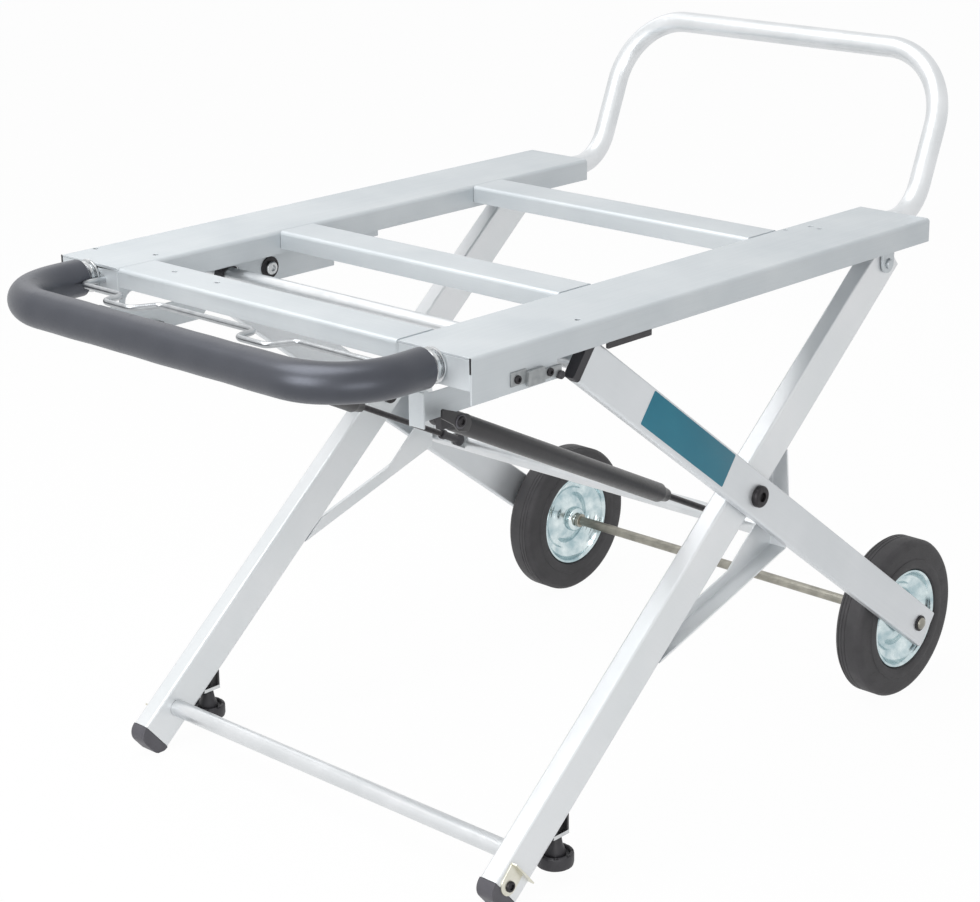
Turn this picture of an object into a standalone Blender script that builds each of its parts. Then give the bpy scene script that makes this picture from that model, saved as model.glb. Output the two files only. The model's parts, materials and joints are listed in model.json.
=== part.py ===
"""Folding table saw stand in metres, +Z up, standing on the floor at z = 0.

A folded-sheet deck stands on two scissor leg frames. The foot frame hinges under the deck's rear, the
wheel frame's top tube slides in slots under the deck's front, and the two cross at a bolted pivot.
+X is to the right, +Y runs from the foam grip to the rear handle.
"""
import math

import bpy
import bmesh
from mathutils import Matrix, Vector

for leftover in list(bpy.data.objects):
    bpy.data.objects.remove(leftover)

# Clearances
GAP = 0.0003            # between pieces that touch
PIN_PLAY = 0.0003       # round a pin or bolt in its hole
LEG_PLAY = 0.001        # wheel leg to the rail's outer flange
FRAME_PLAY = 0.002      # wheel leg to foot leg, filled by the pivot washer
SLOT_PLAY = 0.002       # slide tube in the guide slot
SOCKET_PLAY = 0.0003    # sleeve, cap or plug on its tube
STUD_HOLE_PLAY = 0.001  # levelling stud in the leg's wall

# Deck
DECK_WIDTH = 0.600
DECK_LENGTH = 0.743
DECK_HEIGHT = 0.592
RAIL_WIDTH = 0.096
SHEET = 0.002
FOLD_RADIUS = 0.004
RAIL_FLANGE = 0.026
DEEP_FLANGE = 0.045
DEEP_LENGTH = 0.117
CROSSBAR_WIDTH = 0.052
CROSSBAR_DEPTH = 0.020
MIDDLE_BAR_AT = 0.226
REAR_BAR_FROM_REAR = 0.155
END_PLATE_DEPTH = 0.032
HOLE_RADIUS = 0.003
# Holes in each rail's top: in from the outer edge, back from the front edge
RAIL_HOLES = {"left": ((0.008, 0.040), (0.078, 0.065)),
              "right": ((0.015, 0.163), (0.088, 0.594), (0.077, 0.625), (0.063, 0.622))}
# Holes in the front crossbar: from the middle, back from the front edge
BAR_HOLES = ((-0.150, 0.031), (-0.082, 0.030))

# Fold: where the two leg frames meet the deck and each other, below its top and in from its rear edge
FOLD_DROP = 0.043
PIVOT_DROP = 0.249
HINGE_FROM_REAR = 0.0572
FOOT_ANGLE = math.radians(40.2)
WHEEL_ANGLE = math.radians(37.0)

# Legs
FOOT_LEG_WIDTH = 0.022
WHEEL_LEG_WIDTH = 0.013
LEG_DEPTH = 0.045
LEG_WALL = 0.002
LEG_CORNER = 0.003
FOOT_END_HEIGHT = 0.0205
FOOT_LEG_OVERHANG = 0.015
WHEEL_LEG_OVERHANG = 0.005
WHEEL_LEG_TAIL = 0.024
PLUG_HEAD = 0.010
PLUG_INSERT = 0.012
PIVOT_BOLT_RADIUS = 0.006
PIVOT_HEAD_RADIUS = 0.0105
PIVOT_HEAD = 0.006
HEAD_BEVEL = 0.003
HINGE_PIN_RADIUS = 0.005
HINGE_EAR = 0.003
HINGE_EAR_PLAY = 0.001
HINGE_EAR_MARGIN = 0.011

# Cross tubes
FOOT_TUBE_RADIUS = 0.0098
FOOT_TUBE_INSET = 0.0406
SLIDE_TUBE_RADIUS = 0.0095
SLIDE_BUSH_RADIUS = 0.0135
SLIDE_BUSH = 0.012
CROSS_TUBE_RADIUS = 0.010
CROSS_TUBE_AT = 0.1155
CROSS_TUBE_DROP = 0.006

# Braces behind the foot legs, along the leg from the pivot and out from its rear face
BRACE_TOP = 0.075
BRACE_SHOULDER_AT = 0.040
BRACE_SHOULDER = 0.050
BRACE_HEEL_AT = 0.002
BRACE_HEEL = 0.089
BRACE_TIP = 0.207
BRACE_SHEET = 0.002
BRACE_STRIP = 0.014
BRACE_WINDOW = 0.046
BRACE_WINDOW_TOP = 0.020

# Feet
CAP_NOSE = 0.015
CAP_ROUND = 0.0145
FOOT_BRACKET_WIDTH = 0.018
FOOT_BRACKET_SHEET = 0.003
FOOT_SHELF = 0.050
FOOT_SHELF_REAR = 0.012
LEVELLER_BACK = 0.0856
LEVELLER_LIFT = 0.015
LEVELLER_RADIUS = 0.020
LEVELLER_PAD = 0.016
LEVELLER_EDGE = 0.003
LEVELLER_CONE_RADIUS = 0.013
LEVELLER_NECK_RADIUS = 0.008
LEVELLER_NECK = 0.032
LEVELLER_STUD_RADIUS = 0.004
LEVELLER_STUD = 0.070

# Wheels
WHEEL_RADIUS = 0.0965
TYRE_WIDTH = 0.040
TYRE_SHOULDER = 0.004
RIM_RADIUS = 0.0605
RIM_WALL = 0.003
RIM_STEP = 0.011
RIM_VALLEY_RADIUS = 0.039
RIM_DOME_RADIUS = 0.028
RIM_DOME = 0.007
RIM_DISH = 0.010
HUB_RADIUS = 0.016
HUB_CHAMFER = 0.0032
HUB_END_PLAY = 0.0008
WHEEL_TO_LEG = 0.004
AXLE_RADIUS = 0.006
AXLE_COLLAR_RADIUS = 0.009
AXLE_COLLAR = 0.006
AXLE_BOLT_RADIUS = 0.0095
AXLE_BOLT_HEAD = 0.006

# Guide plates inside the rails
GUIDE_EDGE = 0.081
GUIDE_SHEET = 0.002
GUIDE_LIP = 0.020
GUIDE_DROP = 0.081
GUIDE_STEP_DROP = 0.059
GUIDE_STEP_AT = 0.120
GUIDE_LENGTH = 0.320
GUIDE_NOTCH_DROP = 0.044
GUIDE_NOTCH_AT = 0.012
SLOT_FRONT = 0.030

# Grip, handle and release bail
GRIP_EDGE = 0.048
GRIP_REACH = 0.119
GRIP_DROP = 0.015
GRIP_TUBE_RADIUS = 0.0125
GRIP_CORNER = 0.075
GRIP_INSERT = 0.060
FOAM_RADIUS = 0.020
COLLAR_RADIUS = 0.016
COLLAR_LENGTH = 0.010
COLLAR_CHAMFER = 0.001
HANDLE_PLAY = 0.006
HANDLE_RADIUS = 0.0125
HANDLE_INSERT = 0.100
HANDLE_REACH = 0.0587
HANDLE_RISE = 0.176
HANDLE_LEAN = math.radians(22.0)
HANDLE_BEND = 0.055
HANDLE_CORNER = 0.085
BAIL_PLAY = 0.0005
BAIL_RADIUS = 0.003
BAIL_INSERT = 0.080
BAIL_REACH = 0.030
BAIL_LOOP = 0.028
BAIL_LOOP_SPANS = ((-0.158, -0.100), (0.044, 0.102))
BAIL_BEND = 0.010

# Latches
PAWL_SHEET = 0.003
PAWL_DROP = 0.016
PAWL_PIN_RADIUS = 0.003
PAWL_HEIGHT = 0.009
PAWL_REACH = 0.046
PAWL_NOSE_LEAD = 0.0166
PAWL_NOSE_PLAY = 0.0025
LATCH_PLATE_AT = 0.051
LATCH_PLATE_LENGTH = 0.044
LATCH_PLATE_HEIGHT = 0.017
LATCH_PLATE_DROP = 0.019
LATCH_PLATE_SHEET = 0.0015
LATCH_BLOCK_AT = 0.104
LATCH_BLOCK_LENGTH = 0.022
LATCH_BLOCK_HEIGHT = 0.013
LATCH_BLOCK_DROP = 0.031
LATCH_BLOCK_DEPTH = 0.006

# Gas struts
STRUT_OFFSET = 0.0135
STRUT_EYE_AT = 0.053
STRUT_EYE_DROP = 0.086
STRUT_EYE_RADIUS = 0.010
STRUT_PIN_RADIUS = 0.004
STRUT_BARREL_RADIUS = 0.0105
# The left barrel is the shorter one, so more of its rod shows
STRUT_BARREL = {"left": 0.325, "right": 0.388}
STRUT_SHANK = 0.024
STRUT_NECK = 0.016
STRUT_NECK_STEP = 0.0025
STRUT_ROD_RADIUS = 0.0035
STRUT_ROD_INSERT = 0.160
STRUT_STROKE = 0.105
STRUT_BORE_PLAY = 0.0005
ROD_EYE_RADIUS = 0.0075
ROD_EYE = 0.0074
LUG_SHEET = 0.003
LUG_REACH = 0.027

# Facets
ROUND = 16
FINE = 32
ARC = 4

# Places across the stand that follow from the sizes above
HALF_WIDTH = DECK_WIDTH / 2
RAIL_INNER = HALF_WIDTH - RAIL_WIDTH
WHEEL_LEG_OUT = HALF_WIDTH - SHEET - LEG_PLAY
WHEEL_LEG_IN = WHEEL_LEG_OUT - WHEEL_LEG_WIDTH
WHEEL_LEG_X = WHEEL_LEG_OUT - WHEEL_LEG_WIDTH / 2
FOOT_LEG_OUT = WHEEL_LEG_IN - FRAME_PLAY
FOOT_LEG_IN = FOOT_LEG_OUT - FOOT_LEG_WIDTH
FOOT_LEG_X = FOOT_LEG_OUT - FOOT_LEG_WIDTH / 2
HINGE_OUT = FOOT_LEG_OUT + HINGE_EAR_PLAY + HINGE_EAR
HINGE_IN = FOOT_LEG_IN - HINGE_EAR_PLAY - HINGE_EAR
HANDLE_X = HINGE_IN - HANDLE_PLAY - HANDLE_RADIUS
GRIP_X = HALF_WIDTH - GRIP_EDGE
BAIL_X = GRIP_X - FOAM_RADIUS - BAIL_PLAY - BAIL_RADIUS
GUIDE_X = HALF_WIDTH - GUIDE_EDGE
PAWL_X = GUIDE_X + GUIDE_SHEET + GAP
SLIDE_BUSH_X = PAWL_X + PAWL_SHEET + GAP
STRUT_X = GUIDE_X - STRUT_OFFSET
WHEEL_X = WHEEL_LEG_IN - WHEEL_TO_LEG - TYRE_WIDTH / 2
HUB_IN = WHEEL_X - TYRE_WIDTH / 2
HUB_OUT = WHEEL_LEG_IN - HUB_END_PLAY

# Heights that follow
UNDER_DECK = DECK_HEIGHT - SHEET - GAP
FOLD_HEIGHT = DECK_HEIGHT - FOLD_DROP
PIVOT_HEIGHT = DECK_HEIGHT - PIVOT_DROP
GRIP_HEIGHT = DECK_HEIGHT - GRIP_DROP
GUIDE_BOTTOM = DECK_HEIGHT - GUIDE_DROP
GUIDE_STEP = DECK_HEIGHT - GUIDE_STEP_DROP
GUIDE_NOTCH = DECK_HEIGHT - GUIDE_NOTCH_DROP
PAWL_HEIGHT_AT = DECK_HEIGHT - PAWL_DROP

# Places along the stand that follow: the origin is midway between the grip's and the handle's ends
FRONT_REACH = GRIP_REACH + FOAM_RADIUS
REAR_REACH = DECK_LENGTH + HANDLE_REACH + HANDLE_RISE * math.tan(HANDLE_LEAN) + HANDLE_RADIUS
DECK_FRONT = (FRONT_REACH - REAR_REACH) / 2
DECK_REAR = DECK_FRONT + DECK_LENGTH
PIVOT_TO_HINGE = (FOLD_HEIGHT - PIVOT_HEIGHT) / math.sin(FOOT_ANGLE)
PIVOT_TO_SLIDE = (FOLD_HEIGHT - PIVOT_HEIGHT) / math.sin(WHEEL_ANGLE)
PIVOT_TO_AXLE = (PIVOT_HEIGHT - WHEEL_RADIUS) / math.sin(WHEEL_ANGLE)
FOOT_REACH = (PIVOT_HEIGHT - FOOT_END_HEIGHT) / math.sin(FOOT_ANGLE)
HINGE_Y = DECK_REAR - HINGE_FROM_REAR
PIVOT_Y = HINGE_Y - PIVOT_TO_HINGE * math.cos(FOOT_ANGLE)
SLIDE_Y = PIVOT_Y - PIVOT_TO_SLIDE * math.cos(WHEEL_ANGLE)
AXLE_Y = PIVOT_Y + PIVOT_TO_AXLE * math.cos(WHEEL_ANGLE)
LEVELLER_Y = PIVOT_Y - FOOT_REACH * math.cos(FOOT_ANGLE) + LEVELLER_BACK
PAWL_NOSE_Y = SLIDE_Y - PAWL_NOSE_LEAD
PAWL_Y = PAWL_NOSE_Y - PAWL_REACH

SIDES = (("left", -1), ("right", 1))

PARTS = bpy.data.collections.new("table_saw_stand")
CUTTERS = bpy.data.collections.new("table_saw_stand_cutters")
bpy.context.scene.collection.children.link(PARTS)
bpy.context.scene.collection.children.link(CUTTERS)


def material(name, colour, roughness, metallic):
    """One Principled finish."""
    finish = bpy.data.materials.new(name)
    finish.use_nodes = True
    shader = finish.node_tree.nodes["Principled BSDF"]
    shader.inputs["Base Color"].default_value = (*colour, 1.0)
    shader.inputs["Roughness"].default_value = roughness
    shader.inputs["Metallic"].default_value = metallic
    return finish


ALUMINIUM = material("satin_aluminium", (0.64, 0.66, 0.68), 0.38, 1.0)
BRIGHT_TUBE = material("polished_tube", (0.72, 0.73, 0.75), 0.25, 1.0)
ZINC = material("zinc_plated_steel", (0.62, 0.72, 0.74), 0.3, 1.0)
STEEL = material("plain_steel", (0.35, 0.34, 0.31), 0.4, 1.0)
FOAM = material("foam_grip", (0.07, 0.07, 0.08), 0.75, 0.0)
RUBBER = material("tyre_rubber", (0.06, 0.06, 0.06), 0.7, 0.0)
PLASTIC = material("black_plastic", (0.025, 0.024, 0.027), 0.5, 0.0)
BLACK_STEEL = material("black_painted_steel", (0.03, 0.03, 0.033), 0.35, 0.3)


def finish_mesh(bm, name):
    """Weld loose caps, point the faces outwards and keep sharp edges sharp."""
    bmesh.ops.remove_doubles(bm, verts=bm.verts, dist=1e-6)
    bmesh.ops.recalc_face_normals(bm, faces=bm.faces)
    mesh = bpy.data.meshes.new(name)
    bm.to_mesh(mesh)
    bm.free()
    mesh.shade_smooth()
    mesh.set_sharp_from_angle(angle=math.radians(35))
    return mesh


def place(name, mesh, finish, parent=None, collection=PARTS):
    """Make the object; a child keeps its mesh in its parent's own axes."""
    obj = bpy.data.objects.new(name, mesh)
    collection.objects.link(obj)
    obj.parent = parent
    if finish:
        mesh.materials.append(finish)
    return obj


def axis_empty(name, location, angle=0.0):
    """An empty on a joint's axis, turned about X by angle."""
    empty = bpy.data.objects.new(name, None)
    empty.location = location
    empty.rotation_euler = (angle, 0.0, 0.0)
    empty.empty_display_size = 0.03
    PARTS.objects.link(empty)
    return empty


def curve_mesh(curve, name, matrix):
    """The mesh of a curve with its caps welded, moved by matrix; the curve is removed."""
    obj = bpy.data.objects.new(name, curve)
    CUTTERS.objects.link(obj)
    depsgraph = bpy.context.evaluated_depsgraph_get()
    mesh = bpy.data.meshes.new_from_object(obj.evaluated_get(depsgraph))
    bpy.data.objects.remove(obj)
    bpy.data.curves.remove(curve)
    bm = bmesh.new()
    bm.from_mesh(mesh)
    bpy.data.meshes.remove(mesh)
    bm.transform(matrix)
    return finish_mesh(bm, name)


def outline_mesh(name, loops, depth, matrix):
    """A flat outline, its holes as further loops, thickened to depth about its plane."""
    curve = bpy.data.curves.new(name, "CURVE")
    curve.dimensions = "2D"
    curve.fill_mode = "BOTH"
    curve.extrude = depth / 2
    for loop in loops:
        spline = curve.splines.new("POLY")
        spline.points.add(len(loop) - 1)
        for point, (u, v) in zip(spline.points, loop):
            point.co = (u, v, 0.0, 1.0)
        spline.use_cyclic_u = True
    return curve_mesh(curve, name, matrix)


def side_on(x):
    """Outline (y, z), thickness along X, centred on x."""
    return Matrix(((0, 0, 1, x), (1, 0, 0, 0), (0, 1, 0, 0), (0, 0, 0, 1)))


def end_on(y):
    """Outline (x, z), thickness along Y, centred on y."""
    return Matrix(((1, 0, 0, 0), (0, 0, -1, y), (0, 1, 0, 0), (0, 0, 0, 1)))


def tube_mesh(name, points, radius, resolution=3):
    """A round bar along a path of points."""
    curve = bpy.data.curves.new(name, "CURVE")
    curve.dimensions = "3D"
    curve.bevel_depth = radius
    curve.bevel_resolution = resolution
    curve.use_fill_caps = True
    spline = curve.splines.new("POLY")
    spline.points.add(len(points) - 1)
    for point, place_at in zip(spline.points, points):
        point.co = (*place_at, 1.0)
    return curve_mesh(curve, name, Matrix.Identity(4))


def rod_mesh(name, radius, x0, x1, y, z, segments=ROUND):
    """A round bar along X."""
    bm = bmesh.new()
    turn = Matrix.Translation(((x0 + x1) / 2, y, z)) @ Matrix.Rotation(math.pi / 2, 4, "Y")
    bmesh.ops.create_cone(bm, cap_ends=True, segments=segments, radius1=radius, radius2=radius,
                          depth=abs(x1 - x0), matrix=turn)
    return finish_mesh(bm, name)


def box_mesh(name, low, high):
    """A block between two corners."""
    bm = bmesh.new()
    bmesh.ops.create_cube(bm, size=1.0)
    size = [b - a for a, b in zip(low, high)]
    centre = [(a + b) / 2 for a, b in zip(low, high)]
    bm.transform(Matrix.Translation(centre) @ Matrix.Diagonal((*size, 1.0)))
    return finish_mesh(bm, name)


def side_box(name, side, x, y, z):
    """A block given by its spans, mirrored to the left side when side is -1."""
    low, high = sorted((side * x[0], side * x[1]))
    return box_mesh(name, (low, y[0], z[0]), (high, y[1], z[1]))


def turned_mesh(name, profile, matrix, steps=FINE):
    """A closed profile of (radius, height) points turned about Z, then moved by matrix."""
    mesh = bpy.data.meshes.new(name)
    points = [(radius, 0.0, height) for radius, height in profile]
    edges = [(i, i + 1) for i in range(len(points) - 1)]
    if profile[0][0] > 0:
        edges.append((len(points) - 1, 0))
    mesh.from_pydata(points, edges, [])
    obj = bpy.data.objects.new(name, mesh)
    CUTTERS.objects.link(obj)
    screw = obj.modifiers.new("turn", "SCREW")
    screw.steps = steps
    screw.render_steps = steps
    screw.use_merge_vertices = True
    screw.merge_threshold = 0.00001
    depsgraph = bpy.context.evaluated_depsgraph_get()
    turned = bpy.data.meshes.new_from_object(obj.evaluated_get(depsgraph))
    bpy.data.objects.remove(obj)
    bpy.data.meshes.remove(mesh)
    bm = bmesh.new()
    bm.from_mesh(turned)
    bpy.data.meshes.remove(turned)
    bm.transform(matrix)
    return finish_mesh(bm, name)


def along_x(x, y, z, side=1):
    """Turn a Z-axis shape so its height runs outwards along X on the given side."""
    return Matrix.Translation((x, y, z)) @ Matrix.Rotation(side * math.pi / 2, 4, "Y")


def modify(obj, mesh, operation):
    """Cut obj with a mesh, or join one to it; the tool shares obj's parent."""
    tool = place(obj.name + "_" + mesh.name, mesh, None, obj.parent, CUTTERS)
    tool.display_type = "WIRE"
    tool.hide_render = True
    boolean = obj.modifiers.new(mesh.name, "BOOLEAN")
    boolean.operation = operation
    boolean.solver = "EXACT"
    boolean.object = tool


def cut(obj, mesh):
    modify(obj, mesh, "DIFFERENCE")


def join(obj, mesh):
    modify(obj, mesh, "UNION")


def arc(centre, radius, start, end, steps=ARC):
    """Points on an arc from start to end, in degrees, both ends included."""
    angles = [math.radians(start + (end - start) * i / steps) for i in range(steps + 1)]
    return [(centre[0] + radius * math.cos(a), centre[1] + radius * math.sin(a)) for a in angles]


def circle(centre, radius, steps=ROUND):
    return arc(centre, radius, 0, 360, steps)[:-1]


def rounded_box(u, v, radius):
    """A rectangle u by v about the origin with round corners."""
    a, b = u / 2 - radius, v / 2 - radius
    return (arc((a, b), radius, 0, 90) + arc((-a, b), radius, 90, 180)
            + arc((-a, -b), radius, 180, 270) + arc((a, -b), radius, 270, 360))


def slot_loop(y0, y1, z, radius):
    """A level slot with round ends centred on y0 and y1."""
    return arc((y1, z), radius, -90, 90, 8) + arc((y0, z), radius, 90, 270, 8)


def rounded_path(corners, radii, steps=6):
    """A path through corner points, each inner corner rounded to its radius."""
    points = [Vector(corners[0])]
    for before, corner, after, radius in zip(corners, corners[1:], corners[2:], radii):
        corner = Vector(corner)
        inward = (Vector(before) - corner).normalized()
        outward = (Vector(after) - corner).normalized()
        half = inward.angle(outward) / 2
        bisector = (inward + outward).normalized()
        centre = corner + bisector * (radius / math.sin(half))
        first = corner + inward * (radius / math.tan(half)) - centre
        last = corner + outward * (radius / math.tan(half)) - centre
        sweep = first.angle(last)
        for i in range(steps + 1):
            share = i / steps
            turn = (first * math.sin((1 - share) * sweep) + last * math.sin(share * sweep)) / math.sin(sweep)
            points.append(centre + turn)
    points.append(Vector(corners[-1]))
    return points


# Deck

def rail(side_name, side):
    """Folded channel: top, shallow inner flange, outer flange that is deep at the front."""
    top, outer, inner = DECK_HEIGHT, side * HALF_WIDTH, side * RAIL_INNER
    sheet, fold = side * SHEET, FOLD_RADIUS
    mirror = [(90, 0), (180, 90)] if side > 0 else [(90, 180), (0, 90)]
    loop = [(inner, top - RAIL_FLANGE)]
    loop += arc((inner + side * fold, top - fold), fold, *mirror[1])
    loop += arc((outer - side * fold, top - fold), fold, *mirror[0])
    loop += [(outer, top - DEEP_FLANGE), (outer - sheet, top - DEEP_FLANGE), (outer - sheet, top - SHEET),
             (inner + sheet, top - SHEET), (inner + sheet, top - RAIL_FLANGE)]
    middle = DECK_FRONT + DECK_LENGTH / 2
    obj = place("rail_" + side_name, outline_mesh("rail", [loop], DECK_LENGTH, end_on(middle)), ALUMINIUM)
    reach = FOLD_RADIUS + SHEET
    cut(obj, box_mesh("shallow", (outer - reach, DECK_FRONT + DEEP_LENGTH, top - DEEP_FLANGE - reach),
                      (outer + reach, DECK_REAR + reach, top - RAIL_FLANGE)))
    for number, (inset, at) in enumerate(RAIL_HOLES[side_name]):
        deck_hole(obj, "hole_%d" % number, outer - side * inset, at)


def deck_hole(obj, name, x, at):
    """A round hole through the deck's top sheet."""
    profile = [(0, SHEET), (HOLE_RADIUS, SHEET), (HOLE_RADIUS, -2 * SHEET), (0, -2 * SHEET)]
    cut(obj, turned_mesh(name, profile, Matrix.Translation((x, DECK_FRONT + at, DECK_HEIGHT)), 12))


def crossbar(name, at):
    """Folded channel between the rails, its top flush with theirs."""
    front, rear = DECK_FRONT + at, DECK_FRONT + at + CROSSBAR_WIDTH
    top, low, fold = DECK_HEIGHT, DECK_HEIGHT - CROSSBAR_DEPTH, FOLD_RADIUS
    loop = [(front, low)] + arc((front + fold, top - fold), fold, 180, 90)
    loop += arc((rear - fold, top - fold), fold, 90, 0)
    loop += [(rear, low), (rear - SHEET, low), (rear - SHEET, top - SHEET), (front + SHEET, top - SHEET),
             (front + SHEET, low)]
    return place(name, outline_mesh(name, [loop], 2 * (RAIL_INNER - GAP), side_on(0.0)), ALUMINIUM)


def end_plate(side_name, side):
    """Closes the rail's front and holds the grip tube and the bail's pull rod."""
    low, high = RAIL_INNER + SHEET + GAP, HALF_WIDTH - SHEET - GAP
    bottom, top = DECK_HEIGHT - END_PLATE_DEPTH, UNDER_DECK
    loop = [(side * low, bottom), (side * high, bottom), (side * high, top), (side * low, top)]
    tube = circle((side * GRIP_X, GRIP_HEIGHT), GRIP_TUBE_RADIUS + SOCKET_PLAY)
    wire = circle((side * BAIL_X, GRIP_HEIGHT), BAIL_RADIUS + PIN_PLAY, 12)
    place("end_plate_" + side_name,
          outline_mesh("end_plate", [loop, tube, wire], SHEET, end_on(DECK_FRONT + SHEET / 2)), ALUMINIUM)


def guide_plate(side_name, side):
    """Slotted plate under the rail; the wheel frame's top tube slides in its slot."""
    front, top = DECK_FRONT, UNDER_DECK
    step, rear, notch = front + GUIDE_STEP_AT, front + GUIDE_LENGTH, front + GUIDE_NOTCH_AT
    loop = [(front, GUIDE_BOTTOM), (step, GUIDE_BOTTOM), (step + GUIDE_STEP - GUIDE_BOTTOM, GUIDE_STEP),
            (rear, GUIDE_STEP), (rear, top), (notch, top), (notch, GUIDE_NOTCH), (front, GUIDE_NOTCH)]
    slot_radius = SLIDE_TUBE_RADIUS + SLOT_PLAY
    slot = slot_loop(front + SLOT_FRONT, SLIDE_Y, FOLD_HEIGHT, slot_radius)
    half = GUIDE_SHEET / 2
    middle = GUIDE_X + half
    plate = outline_mesh("guide_plate", [loop, slot], GUIDE_SHEET, side_on(side * middle))
    obj = place("guide_plate_" + side_name, plate, ALUMINIUM)
    join(obj, side_box("lip", side, (middle, GUIDE_X + GUIDE_LIP), (front - half, front + half),
                       (GUIDE_BOTTOM + half, GUIDE_NOTCH - half)))
    join(obj, rod_mesh("pawl_stud", PAWL_PIN_RADIUS, side * middle, side * (PAWL_X + PAWL_SHEET),
                       PAWL_Y, PAWL_HEIGHT_AT, 12))


def grip():
    """U-shaped tube out of the rails' front with a foam sleeve and a collar at each end."""
    y_in, y_bar, z, x = DECK_FRONT + GRIP_INSERT, DECK_FRONT - GRIP_REACH, GRIP_HEIGHT, GRIP_X

    def path(start):
        corners = [(-x, start, z), (-x, y_bar, z), (x, y_bar, z), (x, start, z)]
        return rounded_path(corners, [GRIP_CORNER] * 2, 8)

    place("grip_tube", tube_mesh("grip_tube", path(y_in), GRIP_TUBE_RADIUS), BRIGHT_TUBE)
    foam_end = DECK_FRONT - COLLAR_LENGTH - 2 * GAP
    foam = place("foam_grip", tube_mesh("foam_grip", path(foam_end), FOAM_RADIUS, 4), FOAM)
    cut(foam, tube_mesh("bore", path(DECK_FRONT), GRIP_TUBE_RADIUS + SOCKET_PLAY))
    for side_name, side in SIDES:
        bore, edge = GRIP_TUBE_RADIUS + SOCKET_PLAY, COLLAR_RADIUS - COLLAR_CHAMFER
        ring = [(bore, 0), (edge, 0), (COLLAR_RADIUS, COLLAR_CHAMFER),
                (COLLAR_RADIUS, COLLAR_LENGTH - COLLAR_CHAMFER), (edge, COLLAR_LENGTH), (bore, COLLAR_LENGTH)]
        seat = Matrix.Translation((side * x, DECK_FRONT - GAP, z)) @ Matrix.Rotation(math.pi / 2, 4, "X")
        place("grip_collar_" + side_name, turned_mesh("grip_collar", ring, seat, ROUND), ZINC)


def rear_handle():
    """Bent tube out of the rails' rear ends, rising and leaning back."""
    x, z = HANDLE_X, UNDER_DECK - HANDLE_RADIUS
    y_in, y_bend = DECK_REAR - HANDLE_INSERT, DECK_REAR + HANDLE_REACH
    y_top, z_top = y_bend + HANDLE_RISE * math.tan(HANDLE_LEAN), z + HANDLE_RISE
    corners = [(-x, y_in, z), (-x, y_bend, z), (-x, y_top, z_top),
               (x, y_top, z_top), (x, y_bend, z), (x, y_in, z)]
    path = rounded_path(corners, [HANDLE_BEND, HANDLE_CORNER, HANDLE_CORNER, HANDLE_BEND], 8)
    place("rear_handle", tube_mesh("rear_handle", path, HANDLE_RADIUS), BRIGHT_TUBE)


def foot_hinge(side_name, side):
    """U-bracket under the rail with a pin through the foot leg's top."""
    inner, outer, top = HINGE_IN, HINGE_OUT, UNDER_DECK
    round_end = arc((HINGE_Y, FOLD_HEIGHT), HINGE_EAR_MARGIN, 180, 360, 8)
    loop = [(HINGE_Y - HINGE_EAR_MARGIN, top)] + round_end + [(HINGE_Y + HINGE_EAR_MARGIN, top)]
    hole = circle((HINGE_Y, FOLD_HEIGHT), HINGE_PIN_RADIUS + PIN_PLAY, 16)
    centre = side * (inner + outer) / 2
    bracket = place("hinge_bracket_" + side_name,
                    outline_mesh("hinge_bracket", [loop, hole], outer - inner, side_on(centre)), ALUMINIUM)
    reach = 2 * HINGE_EAR_MARGIN
    cut(bracket, side_box("mouth", side, (inner + HINGE_EAR, outer - HINGE_EAR),
                          (HINGE_Y - reach, HINGE_Y + reach), (FOLD_HEIGHT - reach, top - HINGE_EAR)))
    place("hinge_pin_" + side_name,
          rod_mesh("hinge_pin", HINGE_PIN_RADIUS, side * (inner - HINGE_EAR), side * (outer + HINGE_EAR),
                   HINGE_Y, FOLD_HEIGHT, 16), STEEL)


def latch_plate(side_name, side):
    """Small plate on the outer flange with a stop block on its rear edge."""
    face, top = HALF_WIDTH + GAP, DECK_HEIGHT - LATCH_PLATE_DROP
    start = DECK_FRONT + LATCH_PLATE_AT
    plate = side_box("latch_plate", side, (face, face + LATCH_PLATE_SHEET),
                     (start, start + LATCH_PLATE_LENGTH), (top - LATCH_PLATE_HEIGHT, top))
    obj = place("latch_plate_" + side_name, plate, ZINC)
    high, block = DECK_HEIGHT - LATCH_BLOCK_DROP, DECK_FRONT + LATCH_BLOCK_AT
    join(obj, side_box("block", side, (face, face + LATCH_BLOCK_DEPTH), (block, block + LATCH_BLOCK_LENGTH),
                       (high - LATCH_BLOCK_HEIGHT, high)))
    join(obj, side_box("bridge", side, (face, face + LATCH_PLATE_SHEET / 2),
                       (start, block + LATCH_BLOCK_LENGTH / 2),
                       (high - LATCH_BLOCK_HEIGHT / 2, high - LATCH_PLATE_SHEET)))


def latch_pawl(side_name, side):
    """Lever on a pin on the guide plate, its nose over the slide tube."""
    centre = side * (PAWL_X + PAWL_SHEET / 2)
    pivot = axis_empty("pawl_axis_" + side_name, (0.0, PAWL_Y, PAWL_HEIGHT_AT))
    half, nose = PAWL_HEIGHT / 2, PAWL_REACH
    nose_low = FOLD_HEIGHT + SLIDE_TUBE_RADIUS + PAWL_NOSE_PLAY - PAWL_HEIGHT_AT
    loop = arc((0, 0), half, 90, 270, 8) + [(nose / 2, -half), (nose, nose_low), (nose + half, nose_low),
                                            (nose + half / 2, nose_low + half), (nose, half)]
    hole = circle((0, 0), PAWL_PIN_RADIUS + PIN_PLAY, 12)
    pawl = outline_mesh("latch_pawl", [loop, hole], PAWL_SHEET, side_on(centre))
    place("latch_pawl_" + side_name, pawl, ZINC, pivot)


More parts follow.
